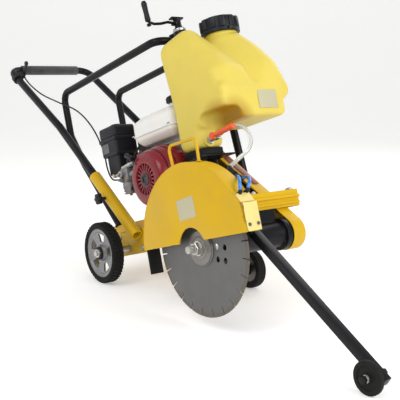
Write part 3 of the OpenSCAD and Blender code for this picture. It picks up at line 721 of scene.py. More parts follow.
def waterTank():
    t = {"voxel": 4.2, "firstSmooth": 12, "lastSmooth": 4}
    bm = bmesh.new()
    hull(bm, [(x, y, z, 12) for x in (365, 545) for y in (-123, 78) for z in (300, 345)])  # apron
    hull(bm, [(x, y, z, 14) for x in (365, 545) for y in (-121, 102) for z in (356, 370)])
    hull(bm, [(352, -110, 351, 26), (334, -98, 524, 39), (345, -36, 500, 28), (374, -72, 546, 38),  # near lobe
              (500, -88, 412, 46), (525, -98, 366, 32), (525, -26, 364, 32), (500, -44, 410, 44)])
    hull(bm, [(352, 90, 350, 26), (366, 70, 500, 40), (410, 36, 516, 60), (462, 54, 470, 54),  # far lobe
              (498, 66, 424, 52), (521, 78, 380, 42), (532, 88, 360, 30), (524, 14, 364, 34),
              (470, 14, 436, 46)])
    hull(bm, [(x, y, z, 20) for x in (347, 411) for y in (-114, -64) for z in (251, 340)])
    hull(bm, [(411, -62, 276, 18), (411, -40, 304, 18), (500, -40, 304, 16), (500, -60, 304, 16),
              (411, -60, 310, 18)])
    bm = sculpt(bm, [("REMESH", {"mode": "VOXEL", "voxel_size": t["voxel"]}),
                     ("SMOOTH", {"factor": 0.5, "iterations": t["firstSmooth"]})])
    cutter = bmesh.new()
    hull(cutter, [(x, y, z, 22) for x in (462, 640) for y in (-180, -96) for z in (180, 298)])
    block(cutter, (331, -59, 180), (393, -21, 700), 0, toColumn @ Matrix.Translation(-Vector(column["foot"])))
    bm = sculpt(bm, [("BOOLEAN", {"operation": "DIFFERENCE", "solver": "EXACT"}),
                     ("REMESH", {"mode": "VOXEL", "voxel_size": t["voxel"]}),
                     ("SMOOTH", {"factor": 0.5, "iterations": t["lastSmooth"]})], cutter)
    lathe(bm, [(38, 480), (50, 500), (52, 520), (47, 540), (46, 553), (48.5, 556), (48.5, 563), (46, 566),
               (46, 590),
               (44, 592), (40, 592), (38, 590), (38, 480)], tankMouth, axisUp, 96)
    lathe(bm, [(0, 0), (17, 0), (17, 5), (12, 7), (0, 7)], (429, -102, 250), (1, -0.13, 0.09), 40)
    keep("tankShell", bm, "frame", "tankPlastic", "water_tank", 60)
    bm = bmesh.new()
    block(bm, (342, -128, 213.3), (426, -54, 233), 4)
    keep("tankPad", bm, "frame", "softRubber")
    bm = bmesh.new()  # plain unlettered patch on the apron
    block(bm, (557.0, -12, 308), (559.4, 56, 358), 0.2)
    keep("tankPatch", bm, "frame", "labelPlastic")


def tankCap():
    c = {"radius": 56, "lobes": 12, "ribs": 72}
    bm = bmesh.new()
    r = c["radius"]
    lathe(bm, [(46.4, 562), (r - 1, 562), (r + 1.5, 564), (r + 1.5, 572), (r - 1.5, 574), (r - 1.5, 600),
               (r - 3.5, 606), (r - 9, 609), (r - 14, 608), (r - 16, 605), (0, 604), (0, 600), (46.4, 598),
               (46.4, 562)],
          tankMouth, axisUp, 144)
    blockRing(bm, (r - 6, -7.5, 575), (r + 2.2, 7.5, 606), 2.4, tankMouth, axisUp, c["lobes"])
    blockRing(bm, (r - 3, -0.7, 576), (r - 0.6, 0.7, 602), 0.3, tankMouth, axisUp, c["ribs"])
    lug = bmesh.new()
    block(lug, (r - 2, -5, 563), (r + 13, 5, 571), 2.5, segments=3)
    lug.transform(Matrix.Translation(tankMouth) @ Matrix.Rotation(math.radians(-12), 4, "Z"))
    merge(bm, lug)
    keep("tankCapRibbed", bm, "tank_cap", "blackPlastic", "tank_cap", 35)


waterTank()
tankCap()
print("tank done")


def rearWheel(side):
    w = {"blocks": 46, "shoulder": 90.6, "tread": 93.6, "middle": stance["rearMiddle"]}
    name, s = ("Right", -1) if side < 0 else ("Left", 1)
    body = "rear_wheel_" + name.lower()
    centre, axis = (0, s * w["middle"], 0), (0, s, 0)
    bm = bmesh.new()
    lathe(bm, [(74.6, -16), (76, -18), (79, -18.6), (84, -18.4), (88, -17), (90.4, -14),
               (w["shoulder"] + 0.6, -9),
               (w["shoulder"] + 1, 0), (w["shoulder"] + 0.6, 9), (90.4, 14), (88, 17), (84, 18.4), (79, 18.6),
               (76, 18),
               (74.6, 16), (74.6, -16)], centre, axis, 144)
    for radius, height in ((80.5, 18.5), (86, 17.9)):
        tube(bm, [Vector(centre) + Vector((radius * math.cos(a), s * height, radius * math.sin(a)))
                  for a in (2 * math.pi * i / 96 for i in range(96))], 0.7, 6, loop=True)
    for shift, lean, low, high in ((0, 0.3, -14.5, -3.2), (math.pi / w["blocks"], -0.3, 3.2, 14.5)):
        blockRing(bm, (w["shoulder"] - 1, -4, low), (w["tread"], 4, high), 0.9, centre, axis, w["blocks"],
                  Matrix.Rotation(shift, 4, "Z") @ Matrix.Rotation(lean, 4, "X"))
    keep("rearTyre" + name, bm, body, "tyreRubber", "rear_tyre_" + name.lower(), 32)
    dress("rear_rim_" + name.lower(), body, "rimPaint", 2.2, segments=3)
    bm = bmesh.new()
    lathe(bm, [(10.4, 13.6), (19, 13.6), (20.5, 15), (20.5, 16.2), (18, 17), (10.4, 17), (10.4, 13.6)], centre,
          axis, 48)
    keep("hubSeal" + name, bm, body, "softRubber", crease=40)
    bm = bmesh.new()
    tube(bm, [(-46, s * (w["middle"] + 6), 46.5), (-53, s * (w["middle"] + 12), 53.5)], [2.6, 2.1], 12)
    keep("valve" + name, bm, body, "softRubber")


def smallWheel(name, node, place, radius, half, hubLook, grooves):
    bm = bmesh.new()
    p = [(8.2 if radius > 50 else 5.2, half), (radius * 0.28, half), (radius * 0.32, half * 0.62),
         (radius * 0.66, half * 0.62),
         (radius * 0.72, half * 0.98), (radius * 0.92, half), (radius * 0.985, half * 0.8),
         (radius, half * 0.5)]
    for g in range(grooves):
        h = half * 0.4 * (1 - 2 * g / (grooves - 1))
        p += [(radius, h + 1), (radius - 1.4, h + 0.6), (radius - 1.4, h - 0.6), (radius, h - 1)]
    p += [(r, -h) for r, h in reversed(p[:8])]
    lathe(bm, [*reversed(p), p[-1]], place, axisFar, 96)
    keep(name, bm, node, "softRubber", node, 30)
    bm = bmesh.new()
    lathe(bm, [(radius * r, h) for r, h in ((0.2, -half - 0.2), (0.27, 0.4 - half), (0.31, -half * 0.65),
                                            (0.66, -half * 0.65), (0.66, half * 0.65), (0.31, half * 0.65),
                                            (0.27, half - 0.4), (0.2, half + 0.2), (0.2, -half - 0.2))],
          place, axisFar, 64)
    keep(name + "Hub", bm, node, hubLook, crease=30)


for side in (-1, 1):
    rearWheel(side)
for name, node, place, radius, half, hubLook, grooves in (
        ("frontWheelRight", "front_wheel_right", (stance["frontX"], -111, frontZ), stance["frontRadius"], 15,
         "darkSteel", 3),
        ("frontWheelLeft", "front_wheel_left", (stance["frontX"], 71, frontZ), stance["frontRadius"], 15,
         "darkSteel", 3),
        ("guideWheelSolid", "guide_wheel", (stance["guideX"], -270, guideZ), stance["guideRadius"], 6,
         "softRubber", 0)):
    smallWheel(name, node, place, radius, half, hubLook, grooves)
print("wheels done")


def bladeDisc():
    b = {"core": 163, "rim": 175, "slots": 24, "slotHalf": 1.2, "thick": 1.4, "segment": 1.6, "bore": 10,
         "hole": 8,
         "holes": ((58, -4), (88, -8), (55, -34), (83, -40))}
    bm = bmesh.new()  # steel core with radial slots, cut as one outline
    n, outline = b["slots"], []
    gap = math.asin(b["slotHalf"] / b["rim"])
    for k in range(n):
        a0, a1 = 2 * math.pi * k / n + gap, 2 * math.pi * (k + 1) / n - gap
        outline += [(b["core"] * math.cos(a), b["core"] * math.sin(a))
                    for a in (a0 + (a1 - a0) * i / 12 for i in range(13))]
        mid = 2 * math.pi * (k + 1) / n
        across = Vector((-math.sin(mid), math.cos(mid))) * b["slotHalf"]
        outline += [tuple(Vector((math.cos(mid), math.sin(mid))) * r + across * s) for r, s in
                    ((158, -1), (154.5, -1.8), (152.6, 0), (154.5, 1.8), (158, 1))]
    plate(bm, outline, bladeY - b["thick"], bladeY + b["thick"], 0)
    tool = bmesh.new()
    for x, z, radius, sides in ((0, 0, b["bore"], 48), *((x, z, b["hole"], 40) for x, z in b["holes"])):
        bmesh.ops.create_cone(tool, cap_ends=True, segments=sides, radius1=radius, radius2=radius, depth=20,
                              matrix=Matrix.Translation((x, bladeY, z)) @ Matrix.Rotation(math.pi / 2, 4, "X"))
    bm = sculpt(bm, [("BOOLEAN", {"operation": "DIFFERENCE", "solver": "EXACT"})], tool)
    segment = bmesh.new()
    arc = [(r * math.cos(a), r * math.sin(a)) for r, row in ((b["core"] - 0.4, range(11)),
                                                             (b["rim"], range(10, -1, -1)))
           for a in (gap * 1.4 + (2 * math.pi / n - 2.8 * gap) * i / 10 for i in row)]
    part = prism([(x, y, -b["segment"]) for x, y in arc], (0, 0, 2 * b["segment"]))
    roundEdges(part, 0.35, 40, 1)
    merge(segment, part)
    around(bm, segment, (0, bladeY, 0), axisFar, n)
    keep("bladeDisc", bm, "spindle", "blade", "blade", 30, turn=Matrix.Translation(spindleAt))


def spindleNut():
    bm = bmesh.new()
    c = spindleAt
    lathe(bm, [(10, 273.7), (46, 273.7), (46, 275), (44.5, 276.5), (44, 279.5), (42.5, 281), (30, 281),
               (28.5, 282),
               (28.5, 283.2), (27, 284), (20, 284), (10, 284), (10, 273.7)], c, axisNear, 96)
    lathe(bm, [(10, 262.2), (44, 262.2), (46, 264), (46, 270.2), (10, 270.2), (10, 262.2)], c, axisNear, 96)
    keep("bladeFlanges", bm, "spindle", "flange", "blade_flanges", 30)
    bm = bmesh.new()
    lathe(bm, [(10.2, 284), (19, 284), (19, 286.4), (10.2, 286.4), (10.2, 284)], c, axisNear, 40)
    nut = bmesh.new()
    lathe(nut, [(10, 286.4), (15.6, 286.4), (17, 287.4), (17, 297.6), (15.6, 298.8), (10, 298.8), (10, 286.4)],
          c, axisNear, 6)
    merge(bm, nut)
    keep("bladeNut", bm, "spindle", "steel", crease=25)
    bm = bmesh.new()  # threaded free end
    tube(bm, [Vector(c) + Vector((9.4 * math.cos(t), -299 - 17.5 * t / (20 * math.pi), 9.4 * math.sin(t)))
              for t in (2 * math.pi * i / 20 for i in range(201))], 0.55, 6)
    keep("spindleThread", bm, "spindle", "steel", crease=60)


bladeDisc()
spindleNut()
print("blade done")


def guardTrim():
    g = {"x": spindleAt[0], "z": spindleAt[2], "radius": 215}
    bm = bmesh.new()  # folded edge that runs round the near plate
    arc = [(g["x"] + (g["radius"] - 0.4) * math.cos(a), -301.6, g["z"] + (g["radius"] - 0.4) * math.sin(a))
           for a in (math.radians(34 + 141 * i / 60) for i in range(61))]
    tube(bm, arc, 1.1, 8)
    keep("guardSeam", bm, "frame", "yellowPaint", crease=60)
    bm = bmesh.new()  # bolted plate in two leaves on the front edge; its paler yellow is painted highlight for the light falling on the front face
    block(bm, (0, -300, 0), (1.8, -258, 66), 0.6,
          Matrix.Translation((g["x"] + 214.4, 0, g["z"] + 19)) @ Matrix.Rotation(math.radians(-1.7), 4, "Y"))
    block(bm, (0, -300, 0), (1.8, -258, 26), 0.6,
          Matrix.Translation((g["x"] + 206.4, 0, g["z"] + 86)) @ Matrix.Rotation(math.radians(-34), 4, "Y"))
    keep("guardFrontPlate", bm, "frame", "yellowPale", crease=30)
    front = (1, 0, 0.03)
    bolts("guardPlateBolts", [((g["x"] + 216.6, -292, g["z"] + 34), front, 4.2),
                              ((g["x"] + 216.6, -266, g["z"] + 34), front, 4.2)], "frame",
                              "darkSteel", 0.3, 1.0)
    bm = bmesh.new()  # plain unlettered patch
    block(bm, (0, -0.35, 0), (70, 0, 52), 0.15, Matrix.Translation((g["x"] - 32, -302.1, g["z"] + 74))
          @ Matrix.Rotation(math.radians(-3), 4, "Y"))
    keep("guardPatch", bm, "frame", "labelPlastic")
    bm = bmesh.new()  # welds at the bail's feet
    for x, z in ((485, 174.6), (594, 173.4)):
        weld(bm, (x, -279, z), (0.1, 0, 1), 5, 1.7, 12)
    keep("bailWelds", bm, "frame", "yellowPaint", crease=60)


guardTrim()
print("guard done")


def starter():
    s = {"x": 240, "z": 184, "slots": 30, "fins": 20}
    c, axis = (s["x"], -150.3, s["z"]), axisNear
    bm = bmesh.new()
    lathe(bm, [(90, 0), (92, 2), (92, 8), (89.6, 14), (82, 40), (76, 50), (70, 54), (66, 55), (52, 56.5),
               (46, 56), (44, 52),
               (44, 46), (46, 45), (60, 46), (70, 44), (76, 36), (85, 10), (86, 0), (90, 0)], c, axis, 120)
    rib = bmesh.new()  # raised vanes between the cooling slots
    block(rib, (71, -2.6, 10), (90.5, 2.6, 47), 1.2)
    for v in rib.verts:
        v.co.x -= max(0, v.co.z - 14) * 0.42
    around(bm, rib, c, axis, s["slots"])
    # spokes
    blockRing(bm, (22, -2.8, 46), (58, 2.8, 53), 1.2, c, axis, s["fins"], Matrix.Rotation(0.5, 4, "Z"))
    lathe(bm, [(16, 43), (26, 43), (27, 50), (24, 55), (16, 55), (16, 43)], c, axis, 64)
    blockRing(bm, (84, -9, 0), (99, 9, 6), 2.5, c, axis, 3)  # ears
    keep("starterCover", bm, "frame", "redPaint", "recoil_cover", 34)
    bm = bmesh.new()
    lathe(bm, [(0, 4), (84, 4), (86, 22), (86, 30), (0, 30)], c, axis, 64)
    keep("starterScreen", bm, "frame", "softRubber", crease=40)
    bm = bmesh.new()
    lathe(bm, [(0, 50), (17, 50), (19, 52), (19, 57), (17, 58.5), (12, 58), (11, 55), (0, 55)], c, axis, 48)
    blockRing(bm, (8, -2, 54), (18, 2, 59.2), 0.6, c, axis, 4)
    keep("starterCup", bm, "frame", "darkAlloy", crease=30)
    bolts("starterBolts", [((s["x"] + 92 * math.cos(a), -156.3, s["z"] - 92 * math.sin(a)), axisNear, 6)
                           for a in (2 * math.pi * k / 3 for k in range(3))], "frame")
    dress("fan_shroud", "frame", "redPaint", 3.0, segments=3)
    bm = bmesh.new()
    tube(bm, tubePoints([(207.5, -206, 232), (196, -210, 243), (187, -212, 250.5)], 10), 2.0, 10)
    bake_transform(keepSoft("starterRope", bm, "foam"))


def halve(bm, height, side):  # keep what lies on one side of a level, and close it
    bmesh.ops.bisect_plane(bm, geom=[*bm.verts, *bm.edges, *bm.faces], plane_co=(0, 0, height),
                           plane_no=side, clear_outer=True)
    bmesh.ops.remove_doubles(bm, verts=bm.verts, dist=0.06)
    bmesh.ops.holes_fill(bm, edges=[e for e in bm.edges if e.is_boundary])


def fuelTank():
    seam, filler = 329, (284, -86, 0)
    spots = [(124, -114), (296, -114), (262, -30), (296, -84), (124, -30)]
    bm = bmesh.new()
    hull(bm, [(x + (8 if x < 200 else -8), y + (6 if y < -50 else -6), 311, 14) for x, y in spots]
         + [(x, y, 326, 19) for x, y in spots], 3)
    halve(bm, seam - 2, axisUp)
    # the lower tank's cream carries painted light that offsets the shade on it
    keep("fuelTankLower", bm, "frame", "creamPlastic", "fuel_tank", 50)
    bm = bmesh.new()
    flange = bmesh.new()
    rim = bmesh.ops.convex_hull(flange, input=[flange.verts.new((x + 23 * math.cos(a), y + 23 * math.sin(a), z))
                                               for x, y in spots for z in (seam - 2.4, seam + 1.8)
                                               for a in (2 * math.pi * i / 40 for i in range(40))])
    bmesh.ops.delete(flange, geom=[e for e in rim["geom_interior"] if isinstance(e, bmesh.types.BMVert)],
                     context="VERTS")
    bmesh.ops.dissolve_limit(flange, angle_limit=0.02, verts=flange.verts, edges=flange.edges)
    roundEdges(flange, 0.9, 40)
    merge(bm, flange)
    keep("fuelTankSeam", bm, "frame", "whitePlastic", crease=40)
    bm = bmesh.new()
    hull(bm, [(x, y, 333, 20) for x, y in spots] + [(x, y, 358, 20) for x, y in spots]
         + [(x + (12 if x < 200 else -12), y + (12 if y < -50 else -10), 374, 14) for x, y in spots], 4)
    halve(bm, seam + 1, (0, 0, -1))
    lathe(bm, [(13, 378), (17, 378), (17, 401), (13, 402), (13, 378)], filler, axisUp, 48)
    keep("fuelTankUpper", bm, "frame", "whitePlastic", crease=50)
    bm = bmesh.new()
    lathe(bm, [(17.5, 394), (24, 396), (24, 408), (22, 414), (16, 417), (0, 418), (0, 414), (17.5, 410),
               (17.5, 394)],
          filler, axisUp, 64)
    blockRing(bm, (21.5, -2.4, 397), (25.4, 2.4, 411), 1, filler, axisUp, 14)
    keep("fuelCapRound", bm, "fuel_cap", "blackPlastic", "fuel_cap", 35)
    bolts("fuelTankBolts", [((x, y, seam + 2), axisUp, 5) for x, y in ((110, -134), (102, -20), (300, -134))],
          "frame")


def airCleaner():
    nutAt = (-31, -103, 0)
    bm = bmesh.new()
    block(bm, (-62, -136, 240), (6, -70, 322), 7, segments=4)
    block(bm, (-76, -144, 300), (16, -62, 352), 8, segments=4)
    block(bm, (-80, -147, 348), (20, -59, 360), 4, segments=3)
    block(bm, (-77, -144, 358), (17, -62, 396), 10, segments=4)
    blockRow(bm, (-68, -144.8, 363), (8, -142, 365.4), 0.8, "blackPlastic", 5, (0, 0, 6))
    blockRow(bm, (-64.4, -130, 250), (-60, -76, 253), 1, "blackPlastic", 5, (0, 0, 9))
    lathe(bm, [(0, 394), (17, 394), (17, 399), (14, 404), (5, 405), (0, 405)], nutAt, axisUp, 40)
    blockRing(bm, (13, -2, 396), (18.5, 2, 403), 1, nutAt, axisUp, 9)
    keep("airCleanerCase", bm, "frame", "blackPlastic", "air_cleaner", 35)
    bm = bmesh.new()
    block(bm, (-70, -145.2, 312), (-28, -143.9, 342), 0.4)
    keep("airCleanerPatch", bm, "frame", "darkSteel")
    bm = bmesh.new()
    block(bm, (-20, -135, 236), (16, -117, 252), 3)
    block(bm, (12, -146, 206), (58, -114, 246), 4)
    lathe(bm, [(0, 0), (18, 0), (21, 4), (21, 20), (17, 30), (17, 38), (0, 40)], (36, -130, 206), (0, 0, -1),
          48)
    lathe(bm, [(0, 0), (5, 0), (5, 6), (0, 6)], (36, -130, 168), (0, 0, -1), 6)
    for z in (214, 228):
        lathe(bm, [(0, 0), (7, 0), (7, 8), (4, 9), (4, 16), (0, 16)], (26, -146, z), axisNear, 24)
    tube(bm, [(52, -132, 226), (92, -124, 232), (118, -104, 236)], 9, 20)
    for z in (170, 178, 190):
        weld(bm, (36, -130, z), axisUp, 21, 1.2, 8)
    keep("carburettorBody", bm, "frame", "alloy", "carburettor", 35)
    bm = bmesh.new()  # governor arm, links and springs
    plate(bm, [(66, 190), (72, 188), (92, 262), (86, 264)], -132, -129.5, 0.5)
    plate(bm, [(20, 248), (96, 258), (96, 264), (20, 256)], -141, -138.8, 0.5)
    tube(bm, bend([(89, -131, 258), (60, -136, 262), (30, -139, 254)], 4), 1.2, 8)
    tube(bm, bend([(70, -131, 196), (96, -140, 186), (132, -141, 178)], 6), 1.4, 8)
    coil(bm, [(88, -134, 256), (40, -143, 246)], 3.6, 16, 0.6)
    coil(bm, [(70, -134, 200), (112, -142, 214)], 3.2, 14, 0.6)
    lathe(bm, [(0, 0), (3, 0), (3, 7), (0, 7)], (69, -129, 190), axisNear, 16)
    keep("governorLinks", bm, "frame", "steel", crease=40)
    bm = bmesh.new()
    tube(bm, tubePoints([(118, -126, 300), (104, -140, 272), (98, -144, 236), (80, -142, 196),
                         (50, -134, 178)], 8), 3.4, 12)
    tube(bm, tubePoints([(-8, -100, 250), (-20, -112, 226), (8, -120, 206), (60, -118, 160), (120, -112, 130)],
                        8), 3.6, 12)
    keep("fuelLine", bm, "frame", "softRubber", crease=60)
    bolts("carburettorBolts", [((20, -146.5, 240), axisNear, 4), ((52, -146.5, 212), axisNear, 4),
                               ((78, -132.4, 222), axisNear, 4), ((-4, -135.4, 243), axisNear, 3.6)],
          "frame", "brass")


def cylinderFins():
    tilt = Matrix.Translation((176, -58, 210)) @ Matrix.Rotation(math.radians(-65), 4, "Y")
    bm = bmesh.new()
    blockRow(bm, (-45.5, -45.5, 34), (45.5, 45.5, 36.2), 0.8, "darkAlloy", 9, (0, 0, 7.4))
    block(bm, (-36, -36, 28.5), (36, 36, 106), 6)
    block(bm, (-37.5, -43.5, 104), (37.5, 43.5, 111), 2)
    block(bm, (-33, -39, 110), (33, 39, 137), 6, segments=3)
    bm.transform(tilt)
    keep("cylinderBlock", bm, "frame", "darkAlloy", "cylinder_head", 35)
    bolts("headBolts", [(tilt @ Vector((x, y, 111)), tilt.to_3x3() @ Vector(axisUp), 5) for x in (-34.5, 34.5)
                        for y in (-40, 40)], "frame")
    bm = bmesh.new()
    tube(bm, tubePoints([(24, -54, 268), (12, -54, 274), (0, -54, 279)], 4), 7, 20)
    tube(bm, tubePoints([(0, -54, 279), (-6, -54, 274), (-12, -54, 264)], 4), [8] * 4 + [9] * 5, 20)
    keep("plugCap", bm, "frame", "softRubber", "spark_plug_cap", 50)
    bm = bmesh.new()
    tube(bm, tubePoints([(-12, -54, 266), (-14, -62, 252), (10, -98, 244), (66, -112, 262), (120, -116, 262),
                         (150, -120, 250)], 10), 3.2, 12)
    keep("plugLead", bm, "frame", "softRubber", crease=60)


def exhaustGuard():
    bm = bmesh.new()
    blockRow(bm, (6, 17, 306), (9.2, 19, 382), 0.4, "exhaust", 13, (6.4, 0, 0))
    for z in (304, 381):
        block(bm, (2, 16.4, z), (94, 19.2, z + 4), 0.6)
    for x in (10, 84):
        block(bm, (x, 13, 340), (x + 6, 17, 346), 0.8)
    keep("exhaustShield", bm, "frame", "darkSteel", crease=40)


starter()
fuelTank()
airCleaner()
cylinderFins()
exhaustGuard()
print("engine done")


def depthCrank():
    screwAt, gripAt = (0, 0, 0), (0, -105, 0)  # in the column's own axes
    bm = bmesh.new()
    lathe(bm, [(0, 240), (7, 240), (7, 614), (0, 614)], screwAt, axisUp, 32)
    lathe(bm, [(0, 614.8), (11, 614.8), (12, 617), (12, 622), (10.6, 624), (10.6, 642), (12, 645), (12, 648),
               (0, 649)],
          screwAt, axisUp, 48)
    block(bm, (-9, -23, 647), (9, 20, 652), 1.4)
    tube(bm, bend([(0, -8, 634), (0, -36, 637), (0, -62, 631), (0, -86, 629), (0, -104, 634), (0, -105, 646)],
                  10), 4.2, 20)
    lathe(bm, [(0, 634), (4, 634), (4, 695), (6.2, 695.6), (6.2, 698), (0, 699)], gripAt, axisUp, 24)
    lathe(bm, [(0, 622), (6.5, 622), (6.5, 628), (0, 628)], gripAt, axisUp, 6)
    tube(bm, [(-24, 0, 624), (-4, 0, 624)], 2.6, 16)
    tube(bm, [(0, -12, 628), (0, -24, 628)], 2.4, 16)
    keep("crankArm", bm, "crank", "blackPaint", "crank_screw", 35, turn=toColumn)
    bm = bmesh.new()
    lathe(bm, [(4.06, 636.5), (7, 636.5), (8.6, 639), (8.2, 650), (7.6, 662), (8.2, 678), (8.8, 690),
               (7.6, 694.6),
               (4.06, 694.9), (4.06, 636.5)], gripAt, axisUp, 40)
    keep("crankHandle", bm, "crank_grip", "blackPlastic", "crank_grip", 35, turn=toColumn)
    bm = bmesh.new()
    lathe(bm, [(11.2, 606), (19.2, 606), (20, 608), (20, 613), (11.2, 614), (11.2, 606)], screwAt, axisUp, 48)
    keep("columnCollar", bm, "frame", "steel", crease=35, turn=toColumn)


def handleParts():
    gripAt, pin = (-606, 0, 755), (-554, 0, 719)
    bm = bmesh.new()
    foam = [(13.6, -120), (17, -120), (18, -118.5), (18, 118.5), (17, 120), (13.6, 120), (13.6, -120)]
    lathe(bm, foam, gripAt, axisFar, 48)
    ring = bmesh.new()
    lathe(ring, [(17.7, -113), (17.98, -112), (17.98, -110), (17.7, -109), (17.7, -113)], gripAt, axisFar, 48)
    merge(bm, grow(ring, "row", "foam", Count=23, Step=(0, 9.9, 0)))
    keep("foamSleeve", bm, "handle", "foam", "foam_grip", 50)
    for name, s in (("Right", -1), ("Left", 1)):
        bm = bmesh.new()
        c = (-106 + 110 * 0.65904, s * 166, 252 - 110 * 0.75214)
        lathe(bm, [(0, 14.2), (5, 14.2), (5, 34), (9, 34), (9, 36), (12, 37), (13, 49), (9, 52), (0, 52)], c,
              (0, s, 0), 48)
        lobe = bmesh.new()
        lathe(lobe, [(0, 36.5), (5.4, 36.5), (6.6, 38), (6.8, 47), (5, 49.6), (0, 50)], (11.6, 0, 0), axisUp,
              24)
        around(bm, lobe, c, (0, s, 0), 6)
        keep("starKnob" + name, bm, "knob_" + name.lower(), "blackPlastic",
             "knob_" + name.lower(), 40)
    bm = bmesh.new()  # throttle: clamp, lever and cable
    lean = Matrix.Translation((-556, -166, 708.3)) @ Matrix.Rotation(math.radians(-47), 4, "Y")
    lathe(bm, [(13.6, -11), (18, -11), (19, -9.6), (19, 9.6), (18, 11), (13.6, 11), (13.6, -11)], (0, 0, 0),
          axisUp, 48)
    bm.transform(lean)
    block(bm, (-566, -158, 706), (-542.4, -144.2, 732), 2)
    lathe(bm, [(4.4, 141.6), (11, 141.6), (12, 143), (12, 145), (4.4, 146), (4.4, 141.6)], pin, axisNear, 32)
    keep("throttleHousing", bm, "handle", "blackPlastic", "throttle_clamp", 35)
    bm = bmesh.new()
    plate(bm, [(-563, 719), (-560, 711), (-552, 709), (-546, 713), (-513, 754), (-516, 762), (-524, 762),
               (-560, 726)],
          -141, -137, 0.9)
    lathe(bm, [(0, -4.5), (7.6, -4.5), (8.6, -3), (8.6, 3), (7.6, 4.5), (0, 4.5)], (-519, -139, 756), axisFar,
          32)
    lathe(bm, [(0, 136), (3.96, 136), (3.96, 149.6), (0, 149.6)], pin, axisNear, 24)
    keep("throttleFinger", bm, "throttle_lever", "blackPlastic", "throttle_lever", 35)
    bm = bmesh.new()
    route = [(-539.2, -148, 713.3), (-500, -146, 668), (-430, -140, 612), (-340, -130, 560), (-230, -122, 500),
             (-150, -122, 426), (-106, -120, 340), (-90, -124, 268), (-62, -130, 232), (-25, -132, 222),
             (13.4, -132, 222)]
    tube(bm, tubePoints(route, 12), 2.6, 14)
    for i in (0, -1):
        a, b = Vector(route[i]), Vector(route[1 if i == 0 else -2])
        tube(bm, [a, a + (b - a).normalized() * 12], [3.8, 3.2], 14)
    cable = keepSoft("throttleCableSheath", bm, "blackPlastic")
    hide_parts("throttle_cable")
    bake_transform(cable)


def hoses():
    clear = [(507, -115, 257), (545, -119, 263), (582, -122, 259), (620, -130, 238), (642, -142, 208),
             (650, -162, 184),
             (640, -184, 168), (621, -205, 150)]
    near = [(650, -222, 118), (680, -240, 117), (712, -264, 110), (731, -280, 98), (733, -285, 78)]
    far = [(658, -206, 114), (690, -218, 112), (716, -236, 106), (733, -252, 96), (734, -262, 80)]
    for name, route, r, slot, look, node in (("clearHoseTube", clear, 5, "clear_hose", "clear", "clear_hose"),
                                             ("blueHoseNearTube", near, 4, "blue_hose", "blue",
                                              "blue_hose_near"),
                                             ("blueHoseFarTube", far, 4, "blue_hose", "blue", "blue_hose_far")):
        bm = bmesh.new()
        tube(bm, tubePoints(route, 12), r, 20)
        keep(name, bm, "frame", look, node, 60)
    bm, fork = bmesh.new(), (636, -212.8, 132)  # splitter, barbs and elbows
    tube(bm, tubePoints([clear[-1], (619, -208, 146), (624, -211, 141), (634, -212.6, 133), (644, -214, 126)],
                        4),
         [5.8] * 4 + [6.5] * 4 + [7.6] * 9, 20)
    for branch in ([(644, -217, 124), near[0], (654, -224, 118)], [(648, -210, 122), far[0],
                                                                   (663, -207.6, 113.8)]):
        tube(bm, tubePoints([fork, *branch], 4), [6, 6, 6, 5.6, 5.2, 5.4] + [4.9] * 7, 16)
    for end in (near, far):
        a, b = Vector(end[-1]), Vector(end[-2])
        tip = a + (a - b).normalized() * 6 + Vector((-9, 0, -2))
        tube(bm, tubePoints([a, a + (a - b).normalized() * 4, tip], 5),
             [4.9, 5.2, 4.8, 5.2, 4.8, 5, 5, 5, 5, 5, 5], 16)
    keep("hoseFittings", bm, "frame", "blackPlastic", "hose_splitter", 40)
    bm = bmesh.new()  # tap
    tube(bm, [(430, -103.6, 249.8), (444, -105.6, 251)], 11.5, 6)
    tube(bm, [(444, -105.6, 251), (496, -113, 256)], 8, 24)
    tube(bm, [(468, -109, 253.4), (488, -112, 255.2)], 10.6, 24)
    tube(bm, [(480, -104, 254), (480, -122.6, 254)], 7, 6)
    tube(bm, [(480, -122, 254), (480, -133, 254)], 5, 20)
    tube(bm, [(494, -112.8, 256), (504, -114.6, 256.8), (506.6, -115, 257)], [6.5, 5.6, 5.2], 20)
    keep("tapValve", bm, "frame", "steel", "tap_body", 30)
    bm = bmesh.new()
    lathe(bm, [(0, 124), (9, 124), (10, 125.4), (10, 133), (8.6, 134.4), (0, 134.6)], (480, 0, 254), axisNear,
          32)
    lever = [(488, -129.4, 254.4), (500, -130, 255), (530, -132, 257), (566, -135, 259), (579, -136, 260)]
    tube(bm, tubePoints(lever, 5), [4.4 + 3.4 * min(1, i / 8) for i in range(19)] + [6.4, 4], 20)
    keep("tapHandle", bm, "tap_lever", "orangePlastic", "tap_lever", 40)


